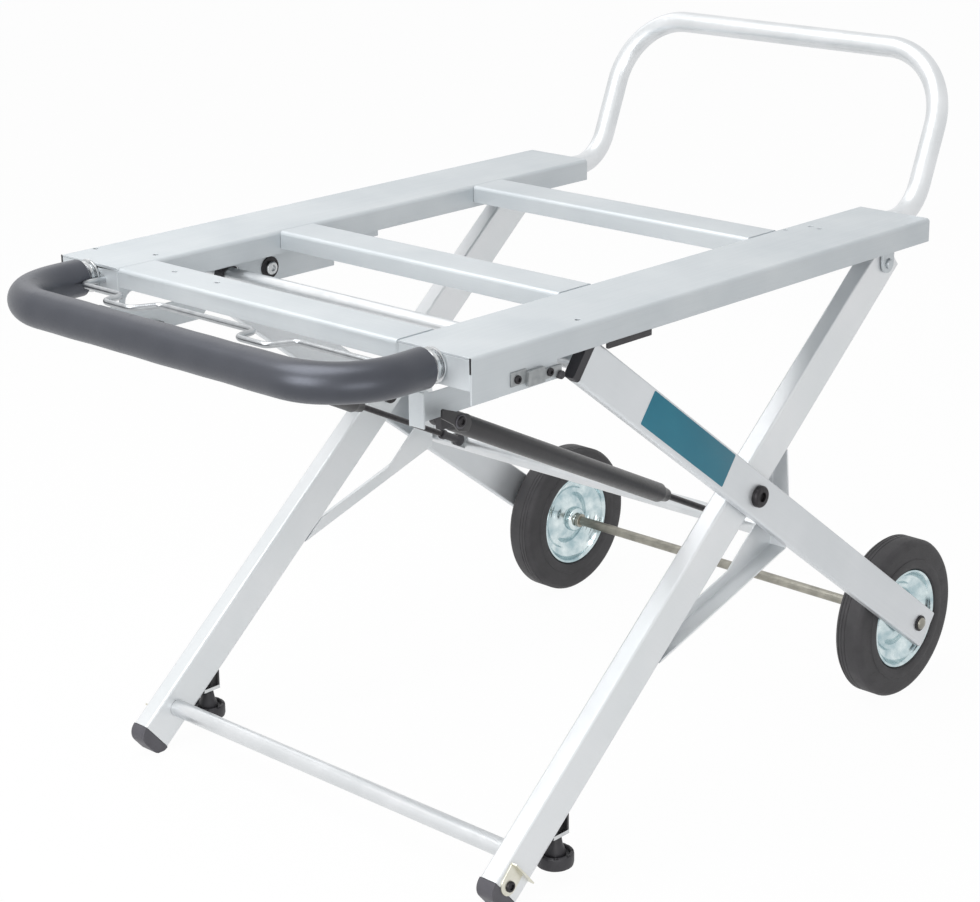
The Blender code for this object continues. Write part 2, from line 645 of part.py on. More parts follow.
def release_bail():
    """Wire under the grip with two finger loops; its ends run into the rails as pull rods."""
    x, z = BAIL_X, GRIP_HEIGHT
    y_in, y_run = DECK_FRONT + BAIL_INSERT, DECK_FRONT - BAIL_REACH
    y_loop = y_run - BAIL_LOOP
    corners = [(-x, y_in, z), (-x, y_run, z)]
    for start, end in BAIL_LOOP_SPANS:
        corners += [(start, y_run, z), (start, y_loop, z), (end - BAIL_LOOP / 2, y_loop, z), (end, y_run, z)]
    corners += [(x, y_run, z), (x, y_in, z)]
    path = rounded_path(corners, [BAIL_BEND] * (len(corners) - 2), 4)
    place("release_bail", tube_mesh("release_bail", path, BAIL_RADIUS, 2), ZINC)


# Foot frame: local +Y runs up the leg towards the hinge, the hinge is the local origin

def hollow_leg(name, width, start, end, x, parent):
    """Rectangular tube along local Y."""
    outer = rounded_box(width, LEG_DEPTH, LEG_CORNER)
    inner = rounded_box(width - 2 * LEG_WALL, LEG_DEPTH - 2 * LEG_WALL, LEG_CORNER - LEG_WALL / 2)
    shift = Matrix.Translation((x, 0.0, 0.0)) @ end_on((start + end) / 2)
    return place(name, outline_mesh(name, [outer, inner], end - start, shift), ALUMINIUM, parent)


def leg_hole(leg, name, x, y, radius, segments=16):
    """A round hole across the leg."""
    cut(leg, rod_mesh(name, radius, x - LEG_DEPTH, x + LEG_DEPTH, y, 0.0, segments))


def foot_frame():
    frame = axis_empty("foot_hinge_axis", (0.0, HINGE_Y, FOLD_HEIGHT), FOOT_ANGLE)
    pivot, tip = -PIVOT_TO_HINGE, -PIVOT_TO_HINGE - FOOT_REACH
    for side_name, side in SIDES:
        x = side * FOOT_LEG_X
        leg = hollow_leg("foot_leg_" + side_name, FOOT_LEG_WIDTH, tip, FOOT_LEG_OVERHANG, x, frame)
        leg_hole(leg, "pivot_hole", x, pivot, PIVOT_BOLT_RADIUS + PIN_PLAY)
        leg_hole(leg, "hinge_hole", x, 0.0, HINGE_PIN_RADIUS + PIN_PLAY)
        stud_hole(leg, side, frame)
        foot_brace(side_name, side, pivot, frame)
        foot_cap(side_name, x, tip, frame)
        foot_bracket(side_name, side)
        leveller(side_name, side)
    reach = FOOT_LEG_IN - GAP
    tube = rod_mesh("foot_tube", FOOT_TUBE_RADIUS, -reach, reach, tip + FOOT_TUBE_INSET, 0.0)
    place("foot_tube", tube, BRIGHT_TUBE, frame)


def foot_brace(side_name, side, pivot, frame):
    """Pressed brace behind the leg at the pivot: a web on the inner side, its rear edge folded outwards."""
    x, face = side * FOOT_LEG_X, -LEG_DEPTH / 2 - GAP
    tip, heel = Vector((pivot - BRACE_TIP, face)), Vector((pivot + BRACE_HEEL_AT, face - BRACE_HEEL))
    top = Vector((pivot + BRACE_TOP, face))
    shoulder = Vector((pivot + BRACE_SHOULDER_AT, face - BRACE_SHOULDER))
    mesh = outline_mesh("foot_brace", [[tip, heel, shoulder, top]], FOOT_LEG_WIDTH, side_on(x))
    brace = place("foot_brace_" + side_name, mesh, ALUMINIUM, frame)
    middle = Vector((pivot, face))
    folds = ((tip, heel), (heel, shoulder), (shoulder, top))
    walls = [inward_line(a, b, middle, BRACE_SHEET) for a, b in folds]
    open_side = face + BRACE_STRIP
    hollow = [level(walls[0], open_side), meet(walls[0], walls[1]), meet(walls[1], walls[2]),
              level(walls[2], open_side)]
    open_x = x + side * BRACE_SHEET
    cut(brace, outline_mesh("hollow", [hollow], FOOT_LEG_WIDTH, side_on(open_x)))
    strip = inward_line(tip, heel, middle, BRACE_STRIP)
    window_top = pivot + BRACE_WINDOW_TOP
    window = [level(strip, open_side), level(strip, face - BRACE_WINDOW), (window_top, face - BRACE_WINDOW),
              (window_top, open_side)]
    cut(brace, outline_mesh("window", [window], 2 * FOOT_LEG_WIDTH, side_on(x)))


def inward_line(a, b, middle, distance):
    """The line through a and b moved by a distance towards middle, as a point and a direction."""
    normal = Vector((b[1] - a[1], a[0] - b[0])).normalized()
    if normal.dot(middle - a) < 0:
        normal = -normal
    return a + normal * distance, b - a


def meet(first, second):
    """Where two lines, each a point and a direction, cross."""
    (p, d), (q, e) = first, second
    cross = d[0] * e[1] - d[1] * e[0]
    share = ((q[0] - p[0]) * e[1] - (q[1] - p[1]) * e[0]) / cross
    return tuple(p + d * share)


def level(line, height):
    """Where a line, a point and a direction, reaches a height."""
    p, d = line
    return tuple(p + d * ((height - p[1]) / d[1]))


def frame_cut(obj, mesh, frame):
    """Cut obj with a mesh in world axes, turned into the frame's own axes."""
    bpy.context.view_layer.update()
    mesh.transform(frame.matrix_world.inverted())
    cut(obj, mesh)


def floor_cut(obj, frame):
    """Cut obj flat at the floor."""
    frame_cut(obj, box_mesh("floor", (-DECK_WIDTH, DECK_FRONT - FRONT_REACH, -2 * CAP_NOSE),
                            (DECK_WIDTH, DECK_REAR, 0.0)), frame)


def stud_hole(leg, side, frame):
    """Hole in the leg's rear-lower wall, through which the levelling stud runs up into the leg."""
    radius, reach = LEVELLER_STUD_RADIUS + STUD_HOLE_PLAY, LEG_DEPTH / 2
    profile = [(0, reach), (radius, reach), (radius, -reach), (0, -reach)]
    centre = Matrix.Translation((side * FOOT_LEG_X, LEVELLER_Y, leg_underside(LEVELLER_Y)))
    frame_cut(leg, turned_mesh("stud_hole", profile, centre, ROUND), frame)


def plug_insert(plug, width, x, start, end):
    """Join to a leg plug the part of it that fills the leg's bore."""
    shrink = 2 * (LEG_WALL + SOCKET_PLAY)
    core = rounded_box(width - shrink, LEG_DEPTH - shrink, LEG_CORNER - LEG_WALL / 2)
    middle = Matrix.Translation((x, 0.0, 0.0)) @ end_on((start + end) / 2)
    join(plug, outline_mesh("insert", [core], abs(end - start), middle))


def foot_cap(side_name, x, tip, frame):
    """Plug in the leg's lower end with a round nose, flat where it stands on the floor."""
    half, start = LEG_DEPTH / 2, tip - GAP
    end = start - CAP_NOSE
    loop = [(start, -half), (start, half)]
    loop += arc((end + CAP_ROUND, half - CAP_ROUND), CAP_ROUND, 90, 180, 2 * ARC)
    loop += arc((end + CAP_ROUND, CAP_ROUND - half), CAP_ROUND, 180, 270, 2 * ARC)
    nose = outline_mesh("foot_cap", [loop], FOOT_LEG_WIDTH, side_on(x))
    cap = place("foot_cap_" + side_name, nose, PLASTIC, frame)
    plug_insert(cap, FOOT_LEG_WIDTH, x, start - CAP_ROUND / 2, tip + PLUG_INSERT)
    floor_cut(cap, frame)


def leg_underside(y):
    """Height of the foot leg's rear-lower face, less the gap, at a world y."""
    axis = PIVOT_HEIGHT + (y - PIVOT_Y) * math.tan(FOOT_ANGLE)
    return axis - (LEG_DEPTH / 2 + GAP) / math.cos(FOOT_ANGLE)


def underside_at(z):
    """World y at which the foot leg's rear-lower face has height z."""
    return PIVOT_Y + (z - leg_underside(PIVOT_Y)) / math.tan(FOOT_ANGLE)


def foot_bracket(side_name, side):
    """Angle under the leg that carries the levelling foot's stud."""
    low, top = FOOT_SHELF, FOOT_SHELF + FOOT_BRACKET_SHEET
    rear = LEVELLER_Y + FOOT_SHELF_REAR
    inner = rear - FOOT_BRACKET_SHEET
    loop = [(underside_at(low), low), (rear, low), (rear, leg_underside(rear)), (inner, leg_underside(inner)),
            (inner, top), (underside_at(top), top)]
    shelf = outline_mesh("foot_bracket", [loop], FOOT_BRACKET_WIDTH, side_on(side * FOOT_LEG_X))
    bracket = place("foot_bracket_" + side_name, shelf, BLACK_STEEL)
    stud = Matrix.Translation((side * FOOT_LEG_X, LEVELLER_Y, low))
    radius, deep = LEVELLER_STUD_RADIUS + PIN_PLAY, 2 * FOOT_BRACKET_SHEET
    cut(bracket, turned_mesh("stud_hole", [(0, deep), (radius, deep), (radius, -deep), (0, -deep)], stud, 16))


def leveller(side_name, side):
    """Round knob foot with a cone neck on a threaded stud, held just clear of the floor."""
    edge = LEVELLER_RADIUS - LEVELLER_EDGE
    profile = [(0, LEVELLER_STUD), (LEVELLER_STUD_RADIUS, LEVELLER_STUD),
               (LEVELLER_STUD_RADIUS, LEVELLER_NECK), (LEVELLER_NECK_RADIUS, LEVELLER_NECK),
               (LEVELLER_CONE_RADIUS, LEVELLER_PAD),
               (edge, LEVELLER_PAD), (LEVELLER_RADIUS, LEVELLER_PAD - LEVELLER_EDGE),
               (LEVELLER_RADIUS, LEVELLER_EDGE), (edge, 0), (0, 0)]
    axis = axis_empty("leveller_axis_" + side_name, (side * FOOT_LEG_X, LEVELLER_Y, LEVELLER_LIFT))
    foot = turned_mesh("levelling_foot", profile, Matrix.Identity(4), ROUND)
    place("levelling_foot_" + side_name, foot, PLASTIC, axis)


# Wheel frame: local +Y runs down the leg towards the axle, the pivot is the local origin

def wheel_frame():
    frame = axis_empty("scissor_pivot_axis", (0.0, PIVOT_Y, PIVOT_HEIGHT), -WHEEL_ANGLE)
    top, tail = -PIVOT_TO_SLIDE - WHEEL_LEG_OVERHANG, PIVOT_TO_AXLE + WHEEL_LEG_TAIL
    for side_name, side in SIDES:
        x = side * WHEEL_LEG_X
        leg = hollow_leg("wheel_leg_" + side_name, WHEEL_LEG_WIDTH, top, tail, x, frame)
        leg_hole(leg, "pivot_hole", x, 0.0, PIVOT_BOLT_RADIUS + PIN_PLAY)
        leg_hole(leg, "axle_hole", x, PIVOT_TO_AXLE, AXLE_RADIUS + PIN_PLAY)
        leg_plug(side_name, x, top, frame)
        pivot_bolt(side_name, side, frame)
        axle_bolt(side_name, side, frame)
        bush = [(SLIDE_TUBE_RADIUS + PIN_PLAY, 0), (SLIDE_BUSH_RADIUS, 0), (SLIDE_BUSH_RADIUS, SLIDE_BUSH),
                (SLIDE_TUBE_RADIUS + PIN_PLAY, SLIDE_BUSH)]
        seat = along_x(side * SLIDE_BUSH_X, -PIVOT_TO_SLIDE, 0.0, side)
        place("slide_bush_" + side_name, turned_mesh("slide_bush", bush, seat, ROUND), PLASTIC, frame)
        wheel(side_name, side)
    reach = WHEEL_LEG_IN - GAP
    tube = rod_mesh("slide_tube", SLIDE_TUBE_RADIUS, -reach, reach, -PIVOT_TO_SLIDE, 0.0)
    place("slide_tube", tube, BRIGHT_TUBE, frame)
    tube = rod_mesh("cross_tube", CROSS_TUBE_RADIUS, -reach, reach, CROSS_TUBE_AT, -CROSS_TUBE_DROP)
    cross = place("cross_tube", tube, BRIGHT_TUBE, frame)
    for side_name, side in SIDES:
        strut_lug(cross, side_name, side)
    axle(frame)


def leg_plug(side_name, x, top, frame):
    """Black plug in the wheel leg's upper end."""
    head = rounded_box(WHEEL_LEG_WIDTH, LEG_DEPTH, LEG_CORNER)
    start = top - GAP - PLUG_HEAD
    middle = Matrix.Translation((x, 0.0, 0.0)) @ end_on(start + PLUG_HEAD / 2)
    plug = place("leg_plug_" + side_name, outline_mesh("leg_plug", [head], PLUG_HEAD, middle), PLASTIC, frame)
    plug_insert(plug, WHEEL_LEG_WIDTH, x, start + PLUG_HEAD / 2, top + PLUG_INSERT)


def pivot_bolt(side_name, side, frame):
    """Dark shouldered bolt through both legs, with a washer between them."""
    outer, inner = WHEEL_LEG_OUT + GAP, FOOT_LEG_IN - GAP
    length = outer - inner
    nut_end = -length - PIVOT_HEAD
    profile = [(0, PIVOT_HEAD), (PIVOT_HEAD_RADIUS - HEAD_BEVEL, PIVOT_HEAD),
               (PIVOT_HEAD_RADIUS, PIVOT_HEAD - HEAD_BEVEL),
               (PIVOT_HEAD_RADIUS, 0), (PIVOT_BOLT_RADIUS, 0), (PIVOT_BOLT_RADIUS, -length),
               (PIVOT_HEAD_RADIUS, -length), (PIVOT_HEAD_RADIUS, nut_end), (0, nut_end)]
    bolt = turned_mesh("pivot_bolt", profile, along_x(side * outer, 0.0, 0.0, side), ROUND)
    place("pivot_bolt_" + side_name, bolt, BLACK_STEEL, frame)
    thick = FRAME_PLAY - 2 * GAP
    ring = [(PIVOT_BOLT_RADIUS + PIN_PLAY, 0), (PIVOT_HEAD_RADIUS, 0), (PIVOT_HEAD_RADIUS, thick),
            (PIVOT_BOLT_RADIUS + PIN_PLAY, thick)]
    washer = turned_mesh("pivot_washer", ring, along_x(side * (FOOT_LEG_OUT + GAP), 0.0, 0.0, side), ROUND)
    place("pivot_washer_" + side_name, washer, ZINC, frame)


def axle(frame):
    """Turned rod between the legs with a collar inside each wheel."""
    collar_out, collar_in = HUB_IN - HUB_END_PLAY, HUB_IN - HUB_END_PLAY - AXLE_COLLAR
    half = [(AXLE_RADIUS, WHEEL_LEG_OUT), (AXLE_RADIUS, collar_out), (AXLE_COLLAR_RADIUS, collar_out),
            (AXLE_COLLAR_RADIUS, collar_in), (AXLE_RADIUS, collar_in)]
    profile = [(0, WHEEL_LEG_OUT)] + half + [(r, -h) for r, h in reversed(half)] + [(0, -WHEEL_LEG_OUT)]
    place("axle", turned_mesh("axle", profile, along_x(0.0, PIVOT_TO_AXLE, 0.0), ROUND), STEEL, frame)


def axle_bolt(side_name, side, frame):
    """Bolt head on the leg's outer face at the axle's end."""
    profile = [(0, AXLE_BOLT_HEAD), (AXLE_BOLT_RADIUS - HEAD_BEVEL, AXLE_BOLT_HEAD),
               (AXLE_BOLT_RADIUS, AXLE_BOLT_HEAD - HEAD_BEVEL), (AXLE_BOLT_RADIUS, 0), (0, 0)]
    seat = along_x(side * (WHEEL_LEG_OUT + GAP), PIVOT_TO_AXLE, 0.0, side)
    place("axle_bolt_" + side_name, turned_mesh("axle_bolt", profile, seat, ROUND), ZINC, frame)


def wheel(side_name, side):
    """Solid tyre on a rim of two pressed halves, each domed round the hub and rising to a rolled lip."""
    axis = axis_empty("wheel_axis_" + side_name, (side * WHEEL_X, AXLE_Y, WHEEL_RADIUS))
    half, outer = TYRE_WIDTH / 2, WHEEL_RADIUS
    seat = RIM_RADIUS + GAP
    tread = arc((outer - TYRE_SHOULDER, half - TYRE_SHOULDER), TYRE_SHOULDER, 90, 0, ARC // 2)
    tyre = [(seat, half)] + tread + [(r, -h) for r, h in reversed(tread)] + [(seat, -half)]
    place("tyre_" + side_name, turned_mesh("tyre", tyre, along_x(0, 0, 0, side), FINE), RUBBER, axis)
    bore, lip = AXLE_RADIUS + PIN_PLAY, half - RIM_WALL
    hub_out, hub_in = HUB_OUT - WHEEL_X, HUB_IN - WHEEL_X
    face = [(HUB_RADIUS, RIM_DISH), (RIM_DOME_RADIUS, RIM_DOME), (RIM_VALLEY_RADIUS, RIM_WALL / 2),
            (RIM_RADIUS - 2 * RIM_WALL, RIM_STEP), (RIM_RADIUS - RIM_WALL, lip), (RIM_RADIUS, lip)]
    hub_edge = HUB_RADIUS - HUB_CHAMFER
    outside = [(bore, hub_out), (hub_edge, hub_out)] + face
    inside = [(r, -h) for r, h in reversed(face)] + [(hub_edge, hub_in), (bore, hub_in)]
    place("rim_" + side_name, turned_mesh("rim", outside + inside, along_x(0, 0, 0, side), FINE), ZINC, axis)


# Gas struts: barrel on the deck, rod to a lug on the wheel frame's cross tube

def strut_line():
    """Where the strut starts, its angle below level and its length to the eye beside the lug."""
    eye_y, eye_z = DECK_FRONT + STRUT_EYE_AT, DECK_HEIGHT - STRUT_EYE_DROP
    sin, cos = math.sin(WHEEL_ANGLE), math.cos(WHEEL_ANGLE)
    run = PIVOT_Y + CROSS_TUBE_AT * cos - CROSS_TUBE_DROP * sin - eye_y
    drop = eye_z - (PIVOT_HEIGHT - CROSS_TUBE_AT * sin - CROSS_TUBE_DROP * cos)
    return eye_y, eye_z, math.atan2(drop, run), math.hypot(run, drop) - LUG_REACH


def along_strut(x):
    """Turn a Z-axis shape so that its height runs along the strut's local +Y."""
    return Matrix.Translation((x, 0.0, 0.0)) @ Matrix.Rotation(-math.pi / 2, 4, "X")


def strut_lug(cross, side_name, side):
    """Flat lug welded to the cross tube, pointing at the strut."""
    slope = strut_line()[2]
    turn = WHEEL_ANGLE - slope + math.pi
    heading = math.degrees(turn)
    root = (CROSS_TUBE_AT, -CROSS_TUBE_DROP)
    tip = (root[0] + LUG_REACH * math.cos(turn), root[1] + LUG_REACH * math.sin(turn))
    loop = arc(tip, ROD_EYE_RADIUS, heading - 90, heading + 90, 8)
    loop += arc(root, ROD_EYE_RADIUS, heading + 90, heading + 270, 8)
    centre = STRUT_X + ROD_EYE / 2 + GAP + LUG_SHEET / 2
    join(cross, outline_mesh("lug_" + side_name, [loop], LUG_SHEET, side_on(side * centre)))


def strut(side_name, side):
    """Gas strut: an eye and barrel on the deck's bracket, and a rod ending in a flat eye."""
    eye_y, eye_z, slope, length = strut_line()
    axis = axis_empty("strut_axis_" + side_name, (0.0, eye_y, eye_z), -slope)
    x, half, thick = side * STRUT_X, STRUT_EYE_RADIUS, STRUT_BARREL_RADIUS / 2
    bore = STRUT_ROD_RADIUS + STRUT_BORE_PLAY
    barrel_end = STRUT_BARREL[side_name]
    rod_start = barrel_end - STRUT_ROD_INSERT
    floor = rod_start - STRUT_STROKE
    tube = [(0, STRUT_SHANK), (STRUT_BARREL_RADIUS, STRUT_SHANK),
            (STRUT_BARREL_RADIUS, barrel_end - STRUT_NECK),
            (STRUT_BARREL_RADIUS - STRUT_NECK_STEP, barrel_end), (bore, barrel_end),
            (bore, floor), (0, floor)]
    barrel = place("strut_barrel_" + side_name, turned_mesh("strut_barrel", tube, along_strut(x), ROUND),
                   BLACK_STEEL, axis)
    join(barrel, outline_mesh("eye", [circle((0, 0), half, 16)], 2 * thick, side_on(x)))
    join(barrel, box_mesh("shank", (x - thick, 0, -half / 2), (x + thick, STRUT_SHANK + half, half / 2)))
    cut(barrel, rod_mesh("eye_hole", STRUT_PIN_RADIUS + PIN_PLAY, x - half, x + half, 0.0, 0.0, 16))
    rod = [(0, length), (STRUT_ROD_RADIUS, length), (STRUT_ROD_RADIUS, rod_start), (0, rod_start)]
    bar = turned_mesh("strut_rod", rod, along_strut(x), ROUND)
    shaft = place("strut_rod_" + side_name, bar, BLACK_STEEL, axis)
    join(shaft, outline_mesh("rod_eye", [circle((length, 0), ROD_EYE_RADIUS, 16)], ROD_EYE, side_on(x)))
    strut_bracket(side_name, side, eye_y, eye_z)


def strut_bracket(side_name, side, eye_y, eye_z):
    """Block on the guide plate's inner face with the pin of the strut's front eye."""
    half, pin_out = STRUT_EYE_RADIUS, GUIDE_X - GAP
    pin = rod_mesh("strut_bracket", STRUT_PIN_RADIUS, side * (STRUT_X - STRUT_BARREL_RADIUS), side * pin_out,
                   eye_y, eye_z, 16)
    bracket = place("strut_bracket_" + side_name, pin, STEEL)
    block_in = STRUT_X + STRUT_BARREL_RADIUS / 2 + GAP
    low, high = min(eye_z, GUIDE_BOTTOM) - half, max(eye_z, GUIDE_BOTTOM) + half
    join(bracket, side_box("block", side, (block_in, pin_out), (eye_y - half, eye_y + half), (low, high)))


for side_name, side in SIDES:
    rail(side_name, side)
    end_plate(side_name, side)
    guide_plate(side_name, side)
    foot_hinge(side_name, side)
    latch_plate(side_name, side)
    latch_pawl(side_name, side)
    strut(side_name, side)
front_bar = crossbar("front_crossbar", 0.0)
for number, (x, at) in enumerate(BAR_HOLES):
    deck_hole(front_bar, "hole_%d" % number, x, at)
crossbar("middle_crossbar", MIDDLE_BAR_AT)
crossbar("rear_crossbar", DECK_LENGTH - REAR_BAR_FROM_REAR - CROSSBAR_WIDTH)
grip()
rear_handle()
release_bail()
foot_frame()
wheel_frame()
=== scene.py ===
"""Looks of a folding table saw stand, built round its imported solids.

Metres, +Z up, +Y from the foam grip to the rear handle, +X to the stand's right. Places come from the
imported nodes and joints; sizes of small fittings are named where they are used.
"""
import json
import math

import bmesh
import bpy
import numpy as np
from mathutils import Matrix, Vector


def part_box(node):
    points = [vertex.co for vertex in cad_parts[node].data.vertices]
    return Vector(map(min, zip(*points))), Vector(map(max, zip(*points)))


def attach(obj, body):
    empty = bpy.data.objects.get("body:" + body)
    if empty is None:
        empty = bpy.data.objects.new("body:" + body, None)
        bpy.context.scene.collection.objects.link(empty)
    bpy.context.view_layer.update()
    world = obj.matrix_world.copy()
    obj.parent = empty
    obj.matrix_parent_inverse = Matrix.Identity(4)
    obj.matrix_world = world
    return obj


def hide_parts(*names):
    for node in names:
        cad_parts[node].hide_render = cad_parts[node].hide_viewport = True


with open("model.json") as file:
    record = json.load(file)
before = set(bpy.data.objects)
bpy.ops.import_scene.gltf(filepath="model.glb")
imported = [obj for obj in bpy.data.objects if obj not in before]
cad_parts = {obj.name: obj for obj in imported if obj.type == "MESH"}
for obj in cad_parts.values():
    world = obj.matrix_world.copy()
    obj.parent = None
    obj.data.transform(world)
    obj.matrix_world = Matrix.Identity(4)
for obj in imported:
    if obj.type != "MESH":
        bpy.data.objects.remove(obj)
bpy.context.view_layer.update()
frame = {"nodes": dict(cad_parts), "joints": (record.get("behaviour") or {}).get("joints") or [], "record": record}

SIDES = (("left", -1.0), ("right", 1.0))
JOINTS = {row["name"]: row for row in frame["joints"]}
NODE_BODY = {node: body for body, nodes in frame["record"]["behaviour"]["bodies"].items() for node in nodes}


def centre_of(node):
    """Middle of a node's box."""
    low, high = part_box(node)
    return (low + high) / 2


def at_x(x, point):
    """The same point at x across."""
    return Vector((x, point.y, point.z))


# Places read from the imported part
rail_low, rail_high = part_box("rail_right")
RAIL_INNER, DECK_FRONT = rail_low.x, rail_low.y
DECK_EDGE, DECK_REAR, DECK_TOP = rail_high
PIVOT = Vector(JOINTS["scissor"]["pos_m"])
HINGE = Vector(JOINTS["fold"]["pos_m"])
AXLE = Vector((0.0, *JOINTS["right_wheel_spin"]["pos_m"][1:]))
SLIDE = centre_of("slide_tube")
STRUT_EYE = Vector(JOINTS["right_strut_swing"]["pos_m"])
STRUT_LINE = Vector(JOINTS["right_strut_stroke"]["axis"]).normalized()
GRIP_X = centre_of("grip_collar_right").x
GRIP_Z = centre_of("grip_tube").z
WHEEL_LEG_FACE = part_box("wheel_leg_right")[1].x
FOOT_LEG_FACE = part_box("foot_leg_right")[1].x
GUIDE_INNER, GUIDE_OUTER = (corner.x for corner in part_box("guide_plate_right"))
WHEEL_LINE = (AXLE - SLIDE).normalized()
FOOT_LINE = (PIVOT - HINGE).normalized()
ACROSS = Vector((1.0, 0.0, 0.0))
BACK = Vector((0.0, 1.0, 0.0))
UP = Vector((0.0, 0.0, 1.0))


# Shader helpers

def linear(code):
    """sRGB hex to linear RGBA: c / 12.92 below 0.04045, else ((c + 0.055) / 1.055) ** 2.4."""
    values = np.array([int(code[i:i + 2], 16) for i in (1, 3, 5)]) / 255.0
    return (*np.where(values <= 0.04045, values / 12.92, ((values + 0.055) / 1.055) ** 2.4), 1.0)


def add(tree, kind, inputs=None, **settings):
    """Add a node with its settings; each input is a value or another node's output."""
    made = tree.nodes.new(kind)
    for key, value in settings.items():
        setattr(made, key, value)
    for key, value in (inputs or {}).items():
        if isinstance(value, bpy.types.NodeSocket):
            tree.links.new(value, made.inputs[key])
        else:
            made.inputs[key].default_value = value
    return made


def per_mm(size):
    """Mapping scale for a pattern's size in millimetres: one value, or one along each axis."""
    return tuple(1000.0 / np.broadcast_to(size, 3))


# Noise mostly lies between the first two values; streaks set in at the third and are full at the fourth
NOISE_LOW, NOISE_HIGH = 0.3, 0.7
STREAK_LOW, STREAK_HIGH = 0.58, 0.72
BUMP_STRENGTH = 0.5


def finish(name, colours, roughness, patch, grain, lift, marks, constants, turn=0.0):
    """A surface with three layers of detail.

    colours: two hex values mixed by soft patches, patch mm across; roughness: low and high, mixed by the
    grain; grain: the size in mm of the fine pattern, one value or along X, Y and Z, turned about X; lift:
    bump height in mm of that grain; marks: how much rougher sparse rubbed streaks are, each about half a
    patch long; constants: values set on the shader's own sockets.
    """
    made = bpy.data.materials.new(name)
    made.use_nodes = True
    tree = made.node_tree
    tree.nodes.clear()
    place = add(tree, "ShaderNodeTexCoord").outputs["Object"]
    turned_place = add(tree, "ShaderNodeMapping", {"Vector": place, "Rotation": (turn, 0.0, 0.0)}).outputs[0]

    patch_place = add(tree, "ShaderNodeMapping", {"Vector": place, "Scale": per_mm(patch)})
    patches = add(tree, "ShaderNodeTexNoise", {"Vector": patch_place.outputs[0], "Scale": 1.0, "Detail": 3.0})
    level = add(tree, "ShaderNodeMapRange", {
        "Value": patches.outputs[0], "From Min": NOISE_LOW, "From Max": NOISE_HIGH})
    blend = add(tree, "ShaderNodeMixRGB", {
        "Fac": level.outputs[0], "Color1": linear(colours[0]), "Color2": linear(colours[1])})

    grain_place = add(tree, "ShaderNodeMapping", {"Vector": turned_place, "Scale": per_mm(grain)})
    grains = add(tree, "ShaderNodeTexNoise", {"Vector": grain_place.outputs[0], "Scale": 1.0, "Detail": 2.0})
    rough = add(tree, "ShaderNodeMapRange", {
        "Value": grains.outputs[0], "From Min": NOISE_LOW, "From Max": NOISE_HIGH,
        "To Min": roughness[0], "To Max": roughness[1]})

    streak_size = per_mm((patch / 6, patch / 2, patch / 6))
    streak_place = add(tree, "ShaderNodeMapping", {"Vector": turned_place, "Scale": streak_size})
    streaks = add(tree, "ShaderNodeTexNoise", {
        "Vector": streak_place.outputs[0], "Scale": 1.0, "Detail": 4.0})
    rubbed = add(tree, "ShaderNodeMapRange", {
        "Value": streaks.outputs[0], "From Min": STREAK_LOW, "From Max": STREAK_HIGH, "To Max": marks})
    total = add(tree, "ShaderNodeMath", {0: rough.outputs[0], 1: rubbed.outputs[0]}, operation="ADD")

    bump = add(tree, "ShaderNodeBump", {
        "Height": grains.outputs[0], "Strength": BUMP_STRENGTH, "Distance": lift / 1000.0})
    shader = add(tree, "ShaderNodeBsdfPrincipled", {
        "Base Color": blend.outputs[0], "Roughness": total.outputs[0], "Normal": bump.outputs[0],
        **constants})
    add(tree, "ShaderNodeOutputMaterial", {"Surface": shader.outputs[0]})
    return made


WHEEL_SLOPE = math.atan2(-WHEEL_LINE.z, WHEEL_LINE.y)
FOOT_SLOPE = math.atan2(-FOOT_LINE.z, -FOOT_LINE.y)
# Satin aluminium: part metal, part pale oxide
SATIN = {"Metallic": 0.6}

# Rolled aluminium sheet, satin: soft lengthwise rolling lines, a pale even grey. The real lines are about
# 0.2 mm apart and are drawn 1.5 mm apart so that they show.
SHEET = {"colours": ("#BFC5C9", "#C9CED1"), "roughness": (0.42, 0.54), "patch": 90.0, "lift": 0.006,
         "marks": 0.06, "constants": SATIN}
SHEET_Y = finish("rolled_aluminium_lengthwise", grain=(1.5, 80.0, 1.5), **SHEET)
SHEET_X = finish("rolled_aluminium_crosswise", grain=(80.0, 1.5, 1.5), **SHEET)
# Extruded aluminium leg tube: die lines run along each leg, drawn as far apart as those of the sheet.
LEG_TUBE = {"roughness": (0.34, 0.46), "patch": 120.0, "grain": (1.5, 120.0, 1.5), "lift": 0.006,
            "marks": 0.06, "constants": SATIN}
WHEEL_LEG = finish("extruded_aluminium_wheel_leg", ("#D0D4D7", "#D9DCDF"), turn=WHEEL_SLOPE, **LEG_TUBE)
# The foot legs' copy is painted lighter than the wheel legs': painted light for the front light that falls on the
# foot legs.
FOOT_LEG = finish("extruded_aluminium_foot_leg_painted_lighter", ("#DADEE0", "#E3E5E7"), turn=FOOT_SLOPE, **LEG_TUBE)
# Drawn aluminium tube: bright satin, faintly mottled, with soft handling marks.
TUBE = finish("drawn_aluminium_tube", ("#D3D6D8", "#DEE0E2"), roughness=(0.32, 0.38), patch=40.0,
              grain=5.0, lift=0.003, marks=0.04, constants={"Metallic": 0.9})
# Closed-cell foam sleeve: charcoal, with a soft cool shine and a faint dusty sheen. The cells are about
# 0.3 mm across and are drawn 1.2 mm across so that they show.
FOAM = finish("closed_cell_foam", ("#222327", "#2B2C30"), roughness=(0.32, 0.42), patch=30.0,
              grain=1.2, lift=0.08, marks=0.10,
              constants={"Specular IOR Level": 0.9, "Specular Tint": linear("#E9EFFF"),
                         "Sheen Weight": 0.08, "Sheen Roughness": 0.5, "Sheen Tint": linear("#9FA8B8")})
# Vulcanised solid rubber: warm charcoal, matt, with a faint mould haze.
RUBBER = finish("solid_rubber", ("#3A393B", "#454446"), roughness=(0.52, 0.68), patch=25.0,
                grain=0.9, lift=0.05, marks=0.10, constants={"Specular IOR Level": 0.4})
